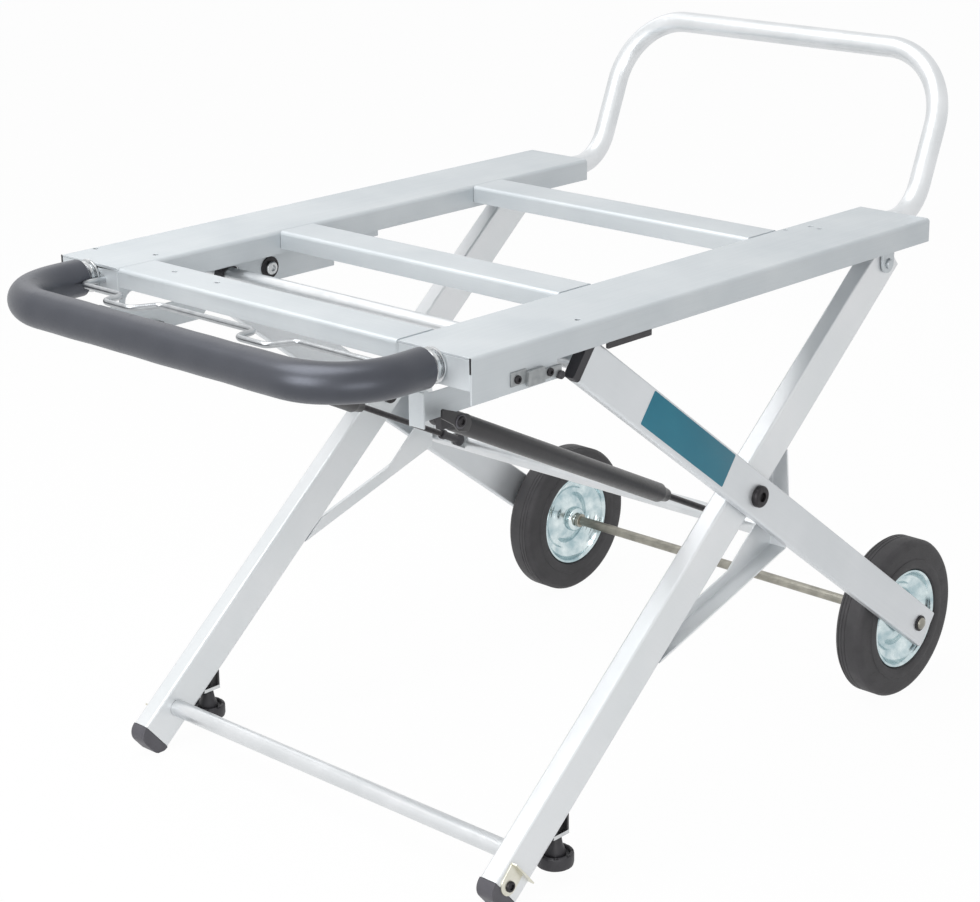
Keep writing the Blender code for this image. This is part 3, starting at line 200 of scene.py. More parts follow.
# Bright zinc plate, blue passivated: mirror-like with a cold tint that drifts over the pressing.
ZINC = finish("blue_zinc_plate", ("#A4BAC0", "#DDE8E9"), roughness=(0.12, 0.20), patch=18.0,
              grain=3.0, lift=0.01, marks=0.10, constants={"Metallic": 1.0})
# Drawn steel wire of the release bail: smooth, its grey painted darker than the plated rings as painted shade,
# standing in for the dark reflections a bright wire shows.
BAIL_WIRE = finish("drawn_steel_wire_painted_dark", ("#A3A6A9", "#B7BABC"), roughness=(0.28, 0.34), patch=12.0,
                   grain=6.0, lift=0.002, marks=0.02, constants={"Metallic": 1.0})
# Clear zinc plate on rings and small parts: bright and neutral.
BRIGHT_ZINC = finish("clear_zinc_plate", ("#B9BCBE", "#D2D4D5"), roughness=(0.14, 0.24), patch=12.0,
                     grain=1.5, lift=0.01, marks=0.08, constants={"Metallic": 1.0})
# Yellow-cast zinc plate of the foot tabs: pale and warm, half dull.
TAB_ZINC = finish("yellow_zinc_plate", ("#D2D0C2", "#E0DED2"), roughness=(0.28, 0.40), patch=14.0,
                  grain=2.0, lift=0.01, marks=0.10, constants={"Metallic": 0.9})
# Hot-dip galvanised latch plates: darker grey with cloudy spangles.
GALVANISED = finish("galvanised_steel", ("#8C9092", "#A3A6A7"), roughness=(0.34, 0.50), patch=6.0,
                    grain=3.0, lift=0.02, marks=0.10, constants={"Metallic": 0.85})
# Cold drawn plain steel rod: grey-brown, oiled, slightly mottled.
STEEL = finish("cold_drawn_steel", ("#8B8981", "#A9A69C"), roughness=(0.30, 0.45), patch=12.0,
               grain=1.0, lift=0.02, marks=0.10, constants={"Metallic": 0.95})
# Moulded black polypropylene: matt with a fine spark-eroded grain.
PLASTIC = finish("moulded_polypropylene", ("#2A292D", "#333236"), roughness=(0.42, 0.58), patch=20.0,
                 grain=0.8, lift=0.04, marks=0.08, constants={"IOR": 1.49})
# Moulded PVC foot caps: a softer, greyer black.
CAP = finish("moulded_pvc", ("#47464C", "#515056"), roughness=(0.45, 0.60), patch=16.0,
             grain=0.8, lift=0.04, marks=0.08, constants={"IOR": 1.53})
# Black painted steel of the struts and brackets: semi-gloss with a light orange peel.
PAINT = finish("black_painted_steel", ("#1E1D20", "#272629"), roughness=(0.34, 0.44), patch=35.0,
               grain=2.5, lift=0.03, marks=0.06,
               constants={"Coat Weight": 0.15, "Coat Roughness": 0.2})
# Black oxide screws and rods: dark, slightly shiny steel.
BLACKED = finish("black_oxide_steel", ("#28272A", "#3A383A"), roughness=(0.28, 0.42), patch=4.0,
                 grain=0.7, lift=0.02, marks=0.08, constants={"Metallic": 0.7})
# Vinyl film of the plain panel on the wheel leg: an even teal, satin.
VINYL = finish("teal_vinyl_film", ("#2B7287", "#2F778B"), roughness=(0.34, 0.42), patch=30.0,
               grain=1.5, lift=0.01, marks=0.06, constants={"Specular IOR Level": 0.3})


# Mesh helpers

# Edges over this angle, in degrees, are kept crisp
CREASE = 35.0


def piece(name, mesh, material, body, sharp=CREASE):
    """A finished piece at the origin: smooth shading, edges over the sharp angle kept crisp."""
    mesh.materials.clear()
    mesh.materials.append(material)
    mesh.shade_smooth()
    mesh.set_sharp_from_angle(angle=math.radians(sharp))
    made = bpy.data.objects.new(name, mesh)
    bpy.context.scene.collection.objects.link(made)
    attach(made, body)
    return made


def remade(node, ending, mesh, material, sharp=CREASE):
    """A finished piece in place of a node, on the node's own body."""
    made = piece(node + ending, mesh, material, NODE_BODY[node], sharp)
    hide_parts(node)
    return made


def grid_mesh(name, points, wrap_rows, caps):
    """Quads between neighbouring points of a (rows, columns, 3) grid whose columns wrap round.

    Rows wrap too when wrap_rows is set, and otherwise caps closes the first and last row with one face.
    """
    rows, columns = points.shape[:2]
    index = np.arange(rows * columns).reshape(rows, columns)
    following = np.roll(index, -1, axis=0) if wrap_rows else index[1:]
    here = index if wrap_rows else index[:-1]
    quads = np.stack((here, np.roll(here, -1, axis=1), np.roll(following, -1, axis=1), following), axis=-1)
    faces = quads.reshape(-1, 4).tolist()
    if caps and not wrap_rows:
        faces += [index[0, ::-1].tolist(), index[-1].tolist()]
    mesh = bpy.data.meshes.new(name)
    mesh.from_pydata(points.reshape(-1, 3).tolist(), [], faces)
    shape = bmesh.new()
    shape.from_mesh(mesh)
    bmesh.ops.recalc_face_normals(shape, faces=shape.faces)
    shape.to_mesh(mesh)
    shape.free()
    mesh.update()
    return mesh


def swept_mesh(name, path, radius, lean=(0.0, 0.0, 1.0), sides=40):
    """Round bar with capped ends: p(i, t) = path_i + r_i (cos t * side_i + sin t * over_i).

    side is the unit cross product of the path's tangent and lean, over the cross product of side and
    tangent, so neither turns about the path. radius is one value or one per path point.
    """
    path = np.array(path, float)
    tangent = np.gradient(path, axis=0)
    tangent /= np.linalg.norm(tangent, axis=1)[:, None]
    side = np.cross(tangent, np.array(lean))
    side /= np.linalg.norm(side, axis=1)[:, None]
    over = np.cross(side, tangent)
    turn = np.linspace(0.0, 2 * math.pi, sides, endpoint=False)[None, :, None]
    size = np.broadcast_to(np.asarray(radius, float), (len(path),))[:, None, None]
    points = path[:, None] + size * (np.cos(turn) * side[:, None] + np.sin(turn) * over[:, None])
    return grid_mesh(name, points, False, True)


def turned_mesh(name, profile, origin, axis, sides=64, ring=False, sink=None):
    """Surface of revolution: p(i, t) = origin + h_i * axis + r_i (cos t * u + sin t * v).

    profile lists (r, h). ring closes the profile on itself; otherwise both ends are capped. sink, if given,
    is a function of r, h and t that is taken off h.
    """
    axis = np.array(Vector(axis).normalized())
    u = np.array(Vector(axis).orthogonal().normalized())
    v = np.cross(axis, u)
    radius, height = np.array(profile, float).T[:, :, None]
    turn = np.linspace(0.0, 2 * math.pi, sides, endpoint=False)[None, :]
    level = height + 0 * turn - (sink(radius, height, turn) if sink else 0.0)
    around = np.cos(turn)[..., None] * u + np.sin(turn)[..., None] * v
    points = np.array(origin) + level[..., None] * axis + radius[..., None] * around
    return grid_mesh(name, points, ring, not ring)


def rounded_path(corners, radii, steps, closed=False):
    """Straight runs through corner points joined by arcs.

    Each arc starts radius / tan(half angle) before its corner; its points are centre + the spherical mean
    of the two end radii. A closed line rounds every corner, an open one all but its two ends.
    """
    corners = [np.array(c, float) for c in corners]
    loop = [corners[-1], *corners, corners[0]] if closed else corners
    parts = [] if closed else [corners[0][None]]
    share = np.linspace(0.0, 1.0, steps + 1)[:, None]
    for before, corner, after, radius in zip(loop, loop[1:], loop[2:], radii):
        back = (before - corner) / np.linalg.norm(before - corner)
        on = (after - corner) / np.linalg.norm(after - corner)
        half = math.acos(float(np.clip(back @ on, -1.0, 1.0))) / 2
        middle = (back + on) / np.linalg.norm(back + on)
        centre = corner + middle * radius / math.sin(half)
        first = corner + back * radius / math.tan(half) - centre
        last = corner + on * radius / math.tan(half) - centre
        sweep = math.pi - 2 * half
        parts.append(centre + (first * np.sin((1 - share) * sweep) + last * np.sin(share * sweep))
                     / math.sin(sweep))
    if not closed:
        parts.append(corners[-1][None])
    return np.concatenate(parts)


# Middle point of a plate's rounded edge, as a share of the edge
EDGE_MIDDLE = 0.3


def plate_mesh(name, outline, depth, edge, seat, along, out, bore=None):
    """Flat plate with a rounded outer edge: p(i, j) = seat + u_ij * along + v_ij * over + h_i * out.

    outline holds the (u, v) points of its closed edge, over is the cross product of out and along, and
    towards the outer face the edge is drawn in along its own normals by up to the edge value. bore, if
    given, is the radius of a round hole about the seat, its points bore * (u_j, v_j) / |(u_j, v_j)|.
    """
    along, out = np.array(Vector(along).normalized()), np.array(Vector(out).normalized())
    over = np.cross(out, along)
    tangent = np.roll(outline, -1, axis=0) - np.roll(outline, 1, axis=0)
    tangent /= np.linalg.norm(tangent, axis=1)[:, None]
    inward = np.stack((-tangent[:, 1], tangent[:, 0]), axis=1)
    u, v = outline.T
    if (u * np.roll(v, -1) - np.roll(u, -1) * v).sum() < 0:
        inward = -inward
    height = np.array([0.0, depth - edge, depth - EDGE_MIDDLE * edge, depth])
    drawn_in = np.array([0.0, 0.0, EDGE_MIDDLE * edge, edge])
    flat = outline[None] + drawn_in[:, None, None] * inward[None]
    if bore:
        hole = bore * outline / np.linalg.norm(outline, axis=1)[:, None]
        flat = np.concatenate((flat, [hole, hole]))
        height = np.append(height, (depth, 0.0))
    points = (np.array(seat) + flat[..., :1] * along + flat[..., 1:] * over + height[:, None, None] * out)
    return grid_mesh(name, points, bool(bore), not bore)


def refined(path, spacing):
    """The same line at an even spacing, by linear interpolation, and how far along it each point is."""
    length = np.concatenate(([0.0], np.cumsum(np.linalg.norm(np.diff(path, axis=0), axis=1))))
    wanted = np.linspace(0.0, length[-1], max(2, int(length[-1] / spacing)))
    return np.stack([np.interp(wanted, length, column) for column in path.T], axis=1), wanted


def box_outline(length, width, corner, steps=5):
    """Edge of a rectangle about the origin, length by width, its corners rounded."""
    a, b = length / 2, width / 2
    return rounded_path([(-a, -b), (a, -b), (a, b), (-a, b)], [corner] * 4, steps, closed=True)


MERGE_DISTANCE, FLAT_ANGLE, SHEET_BEVEL = 1e-6, 1.0, 0.0007


def pressed(node, material, bevel=SHEET_BEVEL):
    """A node's own shape with its doubles merged, flat faces joined and edges rounded by a bevel."""
    mesh = frame["nodes"][node].data.copy()
    mesh.name = node + "_shape"
    shape = bmesh.new()
    shape.from_mesh(mesh)
    bmesh.ops.remove_doubles(shape, verts=shape.verts, dist=MERGE_DISTANCE)
    bmesh.ops.dissolve_limit(shape, angle_limit=math.radians(FLAT_ANGLE), verts=shape.verts,
                             edges=shape.edges)
    shape.to_mesh(mesh)
    shape.free()
    made = remade(node, "_finished", mesh, material)
    edge = made.modifiers.new("rounded_edges", "BEVEL")
    edge.width = bevel
    edge.segments = 2
    edge.limit_method = "ANGLE"
    edge.angle_limit = math.radians(CREASE)
    edge.harden_normals = True
    flat = made.modifiers.new("flat_faces", "WEIGHTED_NORMAL")
    flat.keep_sharp = True


def swept(node, ending, path, radius, material, **options):
    """A round bar along a path, in place of a node."""
    return remade(node, ending, swept_mesh(node + ending, path, radius, **options), material)


def turned_node(node, ending, profile, origin, axis, material, sharp=CREASE, **options):
    """A surface of revolution in place of a node."""
    mesh = turned_mesh(node + ending, profile, origin, axis, **options)
    return remade(node, ending, mesh, material, sharp)


def turned(name, profile, origin, axis, material, body, slot, **options):
    """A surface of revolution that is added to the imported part."""
    return piece(name, turned_mesh(name, profile, origin, axis, **options), material, body)


def plate(name, outline, depth, edge, seat, along, out, material, body, bore=None):
    """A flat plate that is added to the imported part."""
    return piece(name, plate_mesh(name, outline, depth, edge, seat, along, out, bore), material, body)


# Profiles for turned pieces, as rows of radius and height

# Radii of the small flat faces on the axis that close several solid profiles
CAP_NARROW, CAP_WIDE = 0.0010, 0.0020
# Shares of a screw head's height, socket or radius
HEAD_ROUND, HEAD_FOOT = 0.45, 0.2
RECESS_TIP, RECESS_TIP_DEPTH, RECESS_DEPTH, RECESS_FLARE = 0.15, 0.45, 0.5, 1.08


def socket_head(radius, height, socket):
    """Screw head that stands on h = 0: recess, flat top, edge rounded by a quarter circle, and side."""
    turn = np.linspace(0.0, math.pi / 2, 6)
    soft = HEAD_ROUND * height
    edge = np.stack((radius - soft + soft * np.sin(turn), height - soft + soft * np.cos(turn)), axis=1)
    recess = [(RECESS_TIP * socket, RECESS_TIP_DEPTH * height), (socket, RECESS_DEPTH * height),
              (RECESS_FLARE * socket, height)]
    return recess + edge.tolist() + [(radius, 0.0), (HEAD_FOOT * radius, 0.0)]


def flat_ring(bore, radius, height, edge):
    """Ring that stands on h = 0, its upper outer edge cut at 45 degrees."""
    return [(bore, 0.0), (radius, 0.0), (radius, height - edge), (radius - edge, height), (bore, height)]


def edged_bar(inner, radius, low, high, drawn_in, edge):
    """Bar or ring between two heights, both outer edges cut: drawn in at the ends, over the edge's height."""
    return [(inner, low), (radius - drawn_in, low), (radius, low + edge), (radius, high - edge),
            (radius - drawn_in, high), (inner, high)]


def mirrored(rows):
    """A profile's rows mirrored about h = 0, in reverse order."""
    return [(r, -h) for r, h in reversed(rows)]


# Folded sheet and extruded legs keep the solids' shapes, with rounded edges; rails and crossbars meet flush,
# so their cut ends are left nearly square
FLUSH_BEVEL, PAWL_BEVEL, CAP_BEVEL, PLUG_BEVEL = 0.0002, 0.0005, 0.0025, 0.0012

for hand, side in SIDES:
    pressed("rail_" + hand, SHEET_Y, FLUSH_BEVEL)
    for node in ("end_plate_", "guide_plate_", "hinge_bracket_"):
        pressed(node + hand, SHEET_Y)
    pressed("foot_leg_" + hand, FOOT_LEG)
    pressed("foot_brace_" + hand, FOOT_LEG)
    pressed("wheel_leg_" + hand, WHEEL_LEG)
    pressed("latch_pawl_" + hand, GALVANISED, PAWL_BEVEL)
    pressed("strut_bracket_" + hand, PLASTIC)
    pressed("foot_bracket_" + hand, PAINT)
    pressed("foot_cap_" + hand, CAP, CAP_BEVEL)
    pressed("leg_plug_" + hand, PLASTIC, PLUG_BEVEL)
for node in ("front_crossbar", "middle_crossbar", "rear_crossbar"):
    pressed(node, SHEET_X, FLUSH_BEVEL)


# Round tubes

TUBE_SPACING = 0.05


def straight_tube(node, radius, middle):
    """A plain cross tube between its two ends, along X."""
    ends = np.array([at_x(corner.x, middle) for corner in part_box(node)])
    swept(node, "_drawn", refined(ends, TUBE_SPACING)[0], radius, TUBE)


SLIDE_TUBE_RADIUS, FOOT_TUBE_RADIUS, CROSS_TUBE_RADIUS = 0.0095, 0.0098, 0.010
CROSS_TUBE_AT, CROSS_TUBE_DROP = 0.1155, 0.006
cross_at = PIVOT + CROSS_TUBE_AT * WHEEL_LINE - CROSS_TUBE_DROP * ACROSS.cross(WHEEL_LINE)
straight_tube("slide_tube", SLIDE_TUBE_RADIUS, SLIDE)
straight_tube("cross_tube", CROSS_TUBE_RADIUS, cross_at)
straight_tube("foot_tube", FOOT_TUBE_RADIUS, centre_of("foot_tube"))

GRIP_RADIUS, FOAM_RADIUS, GRIP_CORNER, GRIP_REACH = 0.0125, 0.020, 0.075, 0.119


def grip_line(start):
    """The grip's U seen from above: two runs along Y and one along X."""
    bar = DECK_FRONT - GRIP_REACH
    return rounded_path([(-GRIP_X, start, GRIP_Z), (-GRIP_X, bar, GRIP_Z), (GRIP_X, bar, GRIP_Z),
                         (GRIP_X, start, GRIP_Z)], (GRIP_CORNER, GRIP_CORNER), steps=24)


swept("grip_tube", "_drawn", grip_line(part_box("grip_tube")[1].y), GRIP_RADIUS, TUBE)

HANDLE_RADIUS, HANDLE_BEND, HANDLE_CORNER, HANDLE_REACH = 0.0125, 0.055, 0.085, 0.0587
HANDLE_RISE, HANDLE_LEAN = 0.176, math.radians(22.0)
low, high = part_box("rear_handle")
handle_x, handle_high = high.x - HANDLE_RADIUS, high.z - HANDLE_RADIUS
handle_low = handle_high - HANDLE_RISE
handle_bend_y = DECK_REAR + HANDLE_REACH
handle_top_y = handle_bend_y + HANDLE_RISE * math.tan(HANDLE_LEAN)
handle_half = [(-handle_x, low.y, handle_low), (-handle_x, handle_bend_y, handle_low),
               (-handle_x, handle_top_y, handle_high)]
handle_path = rounded_path(handle_half + [(-x, y, z) for x, y, z in reversed(handle_half)],
                           (HANDLE_BEND, HANDLE_CORNER, HANDLE_CORNER, HANDLE_BEND), steps=24)
swept("rear_handle", "_drawn", handle_path, HANDLE_RADIUS, TUBE,
      lean=(0.0, math.cos(HANDLE_LEAN), -math.sin(HANDLE_LEAN)))

BAIL_RADIUS, BAIL_LOOP, BAIL_REACH, BAIL_BEND = 0.0033, 0.028, 0.030, 0.010
BAIL_LOOP_SPANS = ((-0.158, -0.100), (0.044, 0.102))
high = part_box("release_bail")[1]
bail_x, bail_run = high.x - BAIL_RADIUS, DECK_FRONT - BAIL_REACH
bail_corners = [(-bail_x, high.y, GRIP_Z), (-bail_x, bail_run, GRIP_Z)]
for start, end in BAIL_LOOP_SPANS:
    bail_corners += [(start, bail_run, GRIP_Z), (start, bail_run - BAIL_LOOP, GRIP_Z),
                     (end - BAIL_LOOP / 2, bail_run - BAIL_LOOP, GRIP_Z), (end, bail_run, GRIP_Z)]
bail_corners += [(bail_x, bail_run, GRIP_Z), (bail_x, high.y, GRIP_Z)]
bail_path = rounded_path(bail_corners, [BAIL_BEND] * (len(bail_corners) - 2), steps=10)
swept("release_bail", "_wire", bail_path, BAIL_RADIUS, BAIL_WIRE, sides=20)


# Foam grip: a sleeve with rounded ends, a little uneven along its length

FOAM_ROUND, FOAM_SLACK, FOAM_SPACING = 0.004, 0.0004, 0.004
FOAM_WAVES = ((0.00016, 41.0), (0.00012, 97.0))
foam_path, foam_length = refined(grip_line(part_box("foam_grip")[1].y), FOAM_SPACING)
from_end = np.minimum(foam_length, foam_length[-1] - foam_length)
end_round = np.sqrt(np.clip(1.0 - (1.0 - np.clip(from_end / FOAM_ROUND, 0.0, 1.0)) ** 2, 0.0, 1.0))
swell = sum(height * np.sin(foam_length * rate) for height, rate in FOAM_WAVES)
foam_radius = FOAM_RADIUS - FOAM_SLACK - FOAM_ROUND * (1.0 - end_round) + swell
foam = swept("foam_grip", "_sleeve", foam_path, foam_radius, FOAM, sides=56)

# Collars between the foam and the end plates: a bright ring, a groove and a wider flange ring
COLLAR = [(0.0128, 0.0), (0.0150, 0.0), (0.0162, 0.0010), (0.0162, 0.0040), (0.0152, 0.0048),
          (0.0142, 0.0052), (0.0142, 0.0064), (0.0160, 0.0068), (0.0174, 0.0074), (0.0178, 0.0084),
          (0.0176, 0.0096), (0.0170, 0.0100), (0.0128, 0.0100)]
for hand, side in SIDES:
    node = "grip_collar_" + hand
    seat = Vector((side * GRIP_X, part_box(node)[0].y, GRIP_Z))
    turned_node(node, "_ring", COLLAR, seat, BACK, BRIGHT_ZINC, ring=True, sides=56)


# Wheels

WHEEL_RADIUS = AXLE.z
tyre_low, tyre_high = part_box("tyre_right")
WHEEL_X = (tyre_low.x + tyre_high.x) / 2
TYRE_HALF = (tyre_high.x - tyre_low.x) / 2
rim_low, rim_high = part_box("rim_right")
RIM_RADIUS = (rim_high.z - rim_low.z) / 2
TYRE_SEAT_GAP = 0.0003
# Sidewall: how far out from the seat on the rim, then how far in from the tread, each with its depth below
# the tyre's side
TYRE_BEAD = ((0.0, 0.0040), (0.0015, 0.0012), (0.0040, 0.0003), (0.0100, 0.0), (0.0125, 0.0004),
             (0.0130, 0.0012))
TYRE_SHOULDER = ((0.0100, 0.0014), (0.0058, 0.0018), (0.0036, 0.0028), (0.0016, 0.0050), (0.0004, 0.0070),
                 (0.0, 0.0078))
TREAD_GROOVES = (-0.0030, -0.0075, -0.0120)
GROOVE_HALF, GROOVE_DEPTH = 0.0008, 0.0006


def tyre_profile():
    """Section as a closed ring: bead, plain sidewall with one step, shoulder, tread with three grooves."""
    seat = RIM_RADIUS + TYRE_SEAT_GAP
    wall = [(seat + rise, TYRE_HALF - depth) for rise, depth in TYRE_BEAD]
    wall += [(WHEEL_RADIUS - drop, TYRE_HALF - depth) for drop, depth in TYRE_SHOULDER]
    floor_radius = WHEEL_RADIUS - GROOVE_DEPTH
    tread = []
    for at in TREAD_GROOVES:
        tread += [(WHEEL_RADIUS, at + GROOVE_HALF), (floor_radius, at + GROOVE_HALF / 2),
                  (floor_radius, at - GROOVE_HALF / 2), (WHEEL_RADIUS, at - GROOVE_HALF)]
    return wall + tread + mirrored(wall)


# Pressed rim, one half: radius and height over the wheel's middle, from the hub's foot to the lip
RIM_FACE = [(0.0164, 0.0104), (0.0180, 0.0100), (0.0215, 0.0092), (0.0250, 0.0081), (0.0280, 0.0068),
            (0.0310, 0.0048), (0.0335, 0.0027), (0.0360, 0.0016), (0.0385, 0.0014), (0.0405, 0.0022),
            (0.0420, 0.0040), (0.0438, 0.0052), (0.0465, 0.0058), (0.0495, 0.0064), (0.0520, 0.0078),
            (0.0540, 0.0102), (0.0556, 0.0138), (0.0566, 0.0164), (0.0576, 0.0174), (0.0588, 0.0178),
            (0.0599, 0.0174), (0.0605, 0.0162)]
# Hub end: radius and depth below it, from the bore over a shallow groove and round the outer edge
HUB_END = ((0.0063, 0.0), (0.0085, 0.0), (0.0088, 0.0006), (0.0100, 0.0006), (0.0103, 0.0), (0.0128, 0.0),
           (0.01504, 0.0012), (0.0160, 0.0032))


def rim_profile(hub_out, hub_in):
    """Two mirrored pressings and a hub tube that stands out of both: bore, hub end, hub side, face, lip."""
    outer, inner = ([(r, end - depth) for r, depth in HUB_END] + RIM_FACE for end in (hub_out, -hub_in))
    return outer + mirrored(inner)


for hand, side in SIDES:
    hub = at_x(side * WHEEL_X, AXLE)
    out = ACROSS * side
    turned_node("tyre_" + hand, "_grooved", tyre_profile(), hub, out, RUBBER, sharp=28.0, sides=112,
                ring=True)
    turned_node("rim_" + hand, "_pressed", rim_profile(rim_high.x - WHEEL_X, rim_low.x - WHEEL_X), hub,
                out, ZINC, sharp=50.0, sides=112, ring=True)

# Axle: plain rod with a collar inside each wheel
AXLE_RADIUS, HUB_PLAY = 0.0060, 0.0008
AXLE_COLLAR_RADIUS, AXLE_COLLAR, AXLE_COLLAR_EDGE = 0.0090, 0.0060, 0.0008
collar_out = rim_low.x - HUB_PLAY
collar = edged_bar(AXLE_RADIUS, AXLE_COLLAR_RADIUS, collar_out - AXLE_COLLAR, collar_out,
                   AXLE_COLLAR_EDGE, AXLE_COLLAR_EDGE)
axle_half = [(AXLE_RADIUS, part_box("axle")[1].x)] + collar[::-1]
turned_node("axle", "_rod", axle_half + mirrored(axle_half), AXLE, ACROSS, STEEL, sides=40)


# Bolts, pins and bushes on the leg frames

PIVOT_HEAD_RADIUS, PIVOT_HEAD, PIVOT_SOCKET, PIVOT_SHANK = 0.0120, 0.0060, 0.0050, 0.0060
PIVOT_NUT_RADIUS, PIVOT_NUT_EDGE = 0.0105, 0.0010
WASHER_BORE, WASHER_RADIUS, WASHER_DRAWN_IN, WASHER_EDGE = 0.0063, 0.0105, 0.0002, 0.0003
AXLE_HEAD, AXLE_DOME_RADIUS, AXLE_DOME, AXLE_DOME_TIP = 0.0060, 0.0072, 0.0036, 0.0005
# Ring round the dome: bore, radius, height and edge
AXLE_RING = (0.0074, 0.0095, 0.0022, 0.0006)
SLIDE_BUSH_BORE, SLIDE_BUSH_RADIUS, BUSH_EDGE = 0.0098, 0.0135, 0.0012
# The hinge pin's inner radius and end edge as shares of its radius, and that edge's height
PIN_INNER, PIN_DRAWN_IN, PIN_EDGE = 0.3, 0.2, 0.0010
for hand, side in SIDES:
    out = ACROSS * side
    low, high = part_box("pivot_bolt_right")
    head_seat = high.x - PIVOT_HEAD
    nut_seat, nut_end = low.x + PIVOT_HEAD - head_seat, low.x - head_seat
    bolt = socket_head(PIVOT_HEAD_RADIUS, PIVOT_HEAD, PIVOT_SOCKET)[:-1]
    bolt += [(PIVOT_SHANK, 0.0), (PIVOT_SHANK, nut_seat), (PIVOT_NUT_RADIUS, nut_seat),
             (PIVOT_NUT_RADIUS, nut_end + PIVOT_NUT_EDGE), (PIVOT_NUT_RADIUS - PIVOT_NUT_EDGE, nut_end),
             (CAP_WIDE, nut_end)]
    seat = at_x(side * head_seat, PIVOT)
    turned_node("pivot_bolt_" + hand, "_head", bolt, seat, out, BLACKED, sides=48)
    low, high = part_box("pivot_washer_right")
    washer = edged_bar(WASHER_BORE, WASHER_RADIUS, 0.0, high.x - low.x, WASHER_DRAWN_IN, WASHER_EDGE)
    turned_node("pivot_washer_" + hand, "_ring", washer, at_x(side * low.x, PIVOT), out, BRIGHT_ZINC,
                ring=True, sides=48)

    seat = at_x(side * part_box("axle_bolt_right")[0].x, AXLE)
    rise = np.linspace(0.0, math.pi / 2, 7)[1:]
    dome = np.stack((AXLE_DOME_RADIUS * np.sin(rise), AXLE_HEAD - AXLE_DOME * (1 - np.cos(rise))), axis=1)
    head = [(AXLE_DOME_TIP, AXLE_HEAD)] + dome.tolist() + [(AXLE_DOME_RADIUS, 0.0), (CAP_WIDE, 0.0)]
    turned_node("axle_bolt_" + hand, "_dome", head, seat, out, STEEL, sides=40)
    turned("axle_ring_" + hand, flat_ring(*AXLE_RING), seat, out, BLACKED, "wheel_frame", "black_steel",
           ring=True, sides=40)

    low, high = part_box("slide_bush_right")
    bush = edged_bar(SLIDE_BUSH_BORE, SLIDE_BUSH_RADIUS, 0.0, high.x - low.x, BUSH_EDGE, BUSH_EDGE)
    turned_node("slide_bush_" + hand, "_ring", bush, at_x(side * low.x, SLIDE), out, PLASTIC, ring=True,
                sides=48)

    node = "hinge_pin_" + hand
    low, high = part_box(node)
    radius = (high.z - low.z) / 2
    pin = edged_bar(PIN_INNER * radius, radius, 0.0, high.x - low.x, PIN_DRAWN_IN * radius, PIN_EDGE)
    turned_node(node, "_bar", pin, at_x(low.x, HINGE), ACROSS, SHEET_X, sides=40)


# Gas struts: bracket eye, barrel with a rounded neck, rod, end fitting and the lug it meets

STRUT_X = abs(STRUT_EYE.x)
STRUT_BARREL = {"left": 0.325, "right": 0.388}
STRUT_FITTING = {"left": 0.034, "right": 0.018}
STRUT_RADIUS, STRUT_ROUND, STRUT_INSERT = 0.0105, 0.0040, 0.160
SHANK_RADIUS, SHANK_START, SHANK_END = 0.0052, 0.006, 0.017
STRUT_BORE, STRUT_BORE_DEPTH = 0.0040, 0.012
# The barrel's neck: how far in from its radius, and how far before its end
STRUT_NECK = ((0.0, 0.0160), (0.0006, 0.0144), (0.0022, 0.0096), (0.0028, 0.0048), (0.0034, 0.0010),
              (0.0044, 0.0))
EYE_RADIUS, EYE_HALF, EYE_BORE, EYE_EDGE = 0.0100, 0.00525, 0.0043, 0.0016
EYE_RECESS_RADIUS, EYE_RECESS_SLOPE, EYE_RECESS = 0.0070, 0.0006, 0.0010
ROD_RADIUS, ROD_EYE_RADIUS, ROD_EYE_HALF = 0.0035, 0.0075, 0.0037
ROD_EYE_EDGE, ROD_EYE_CAP = 0.0012, 0.0012
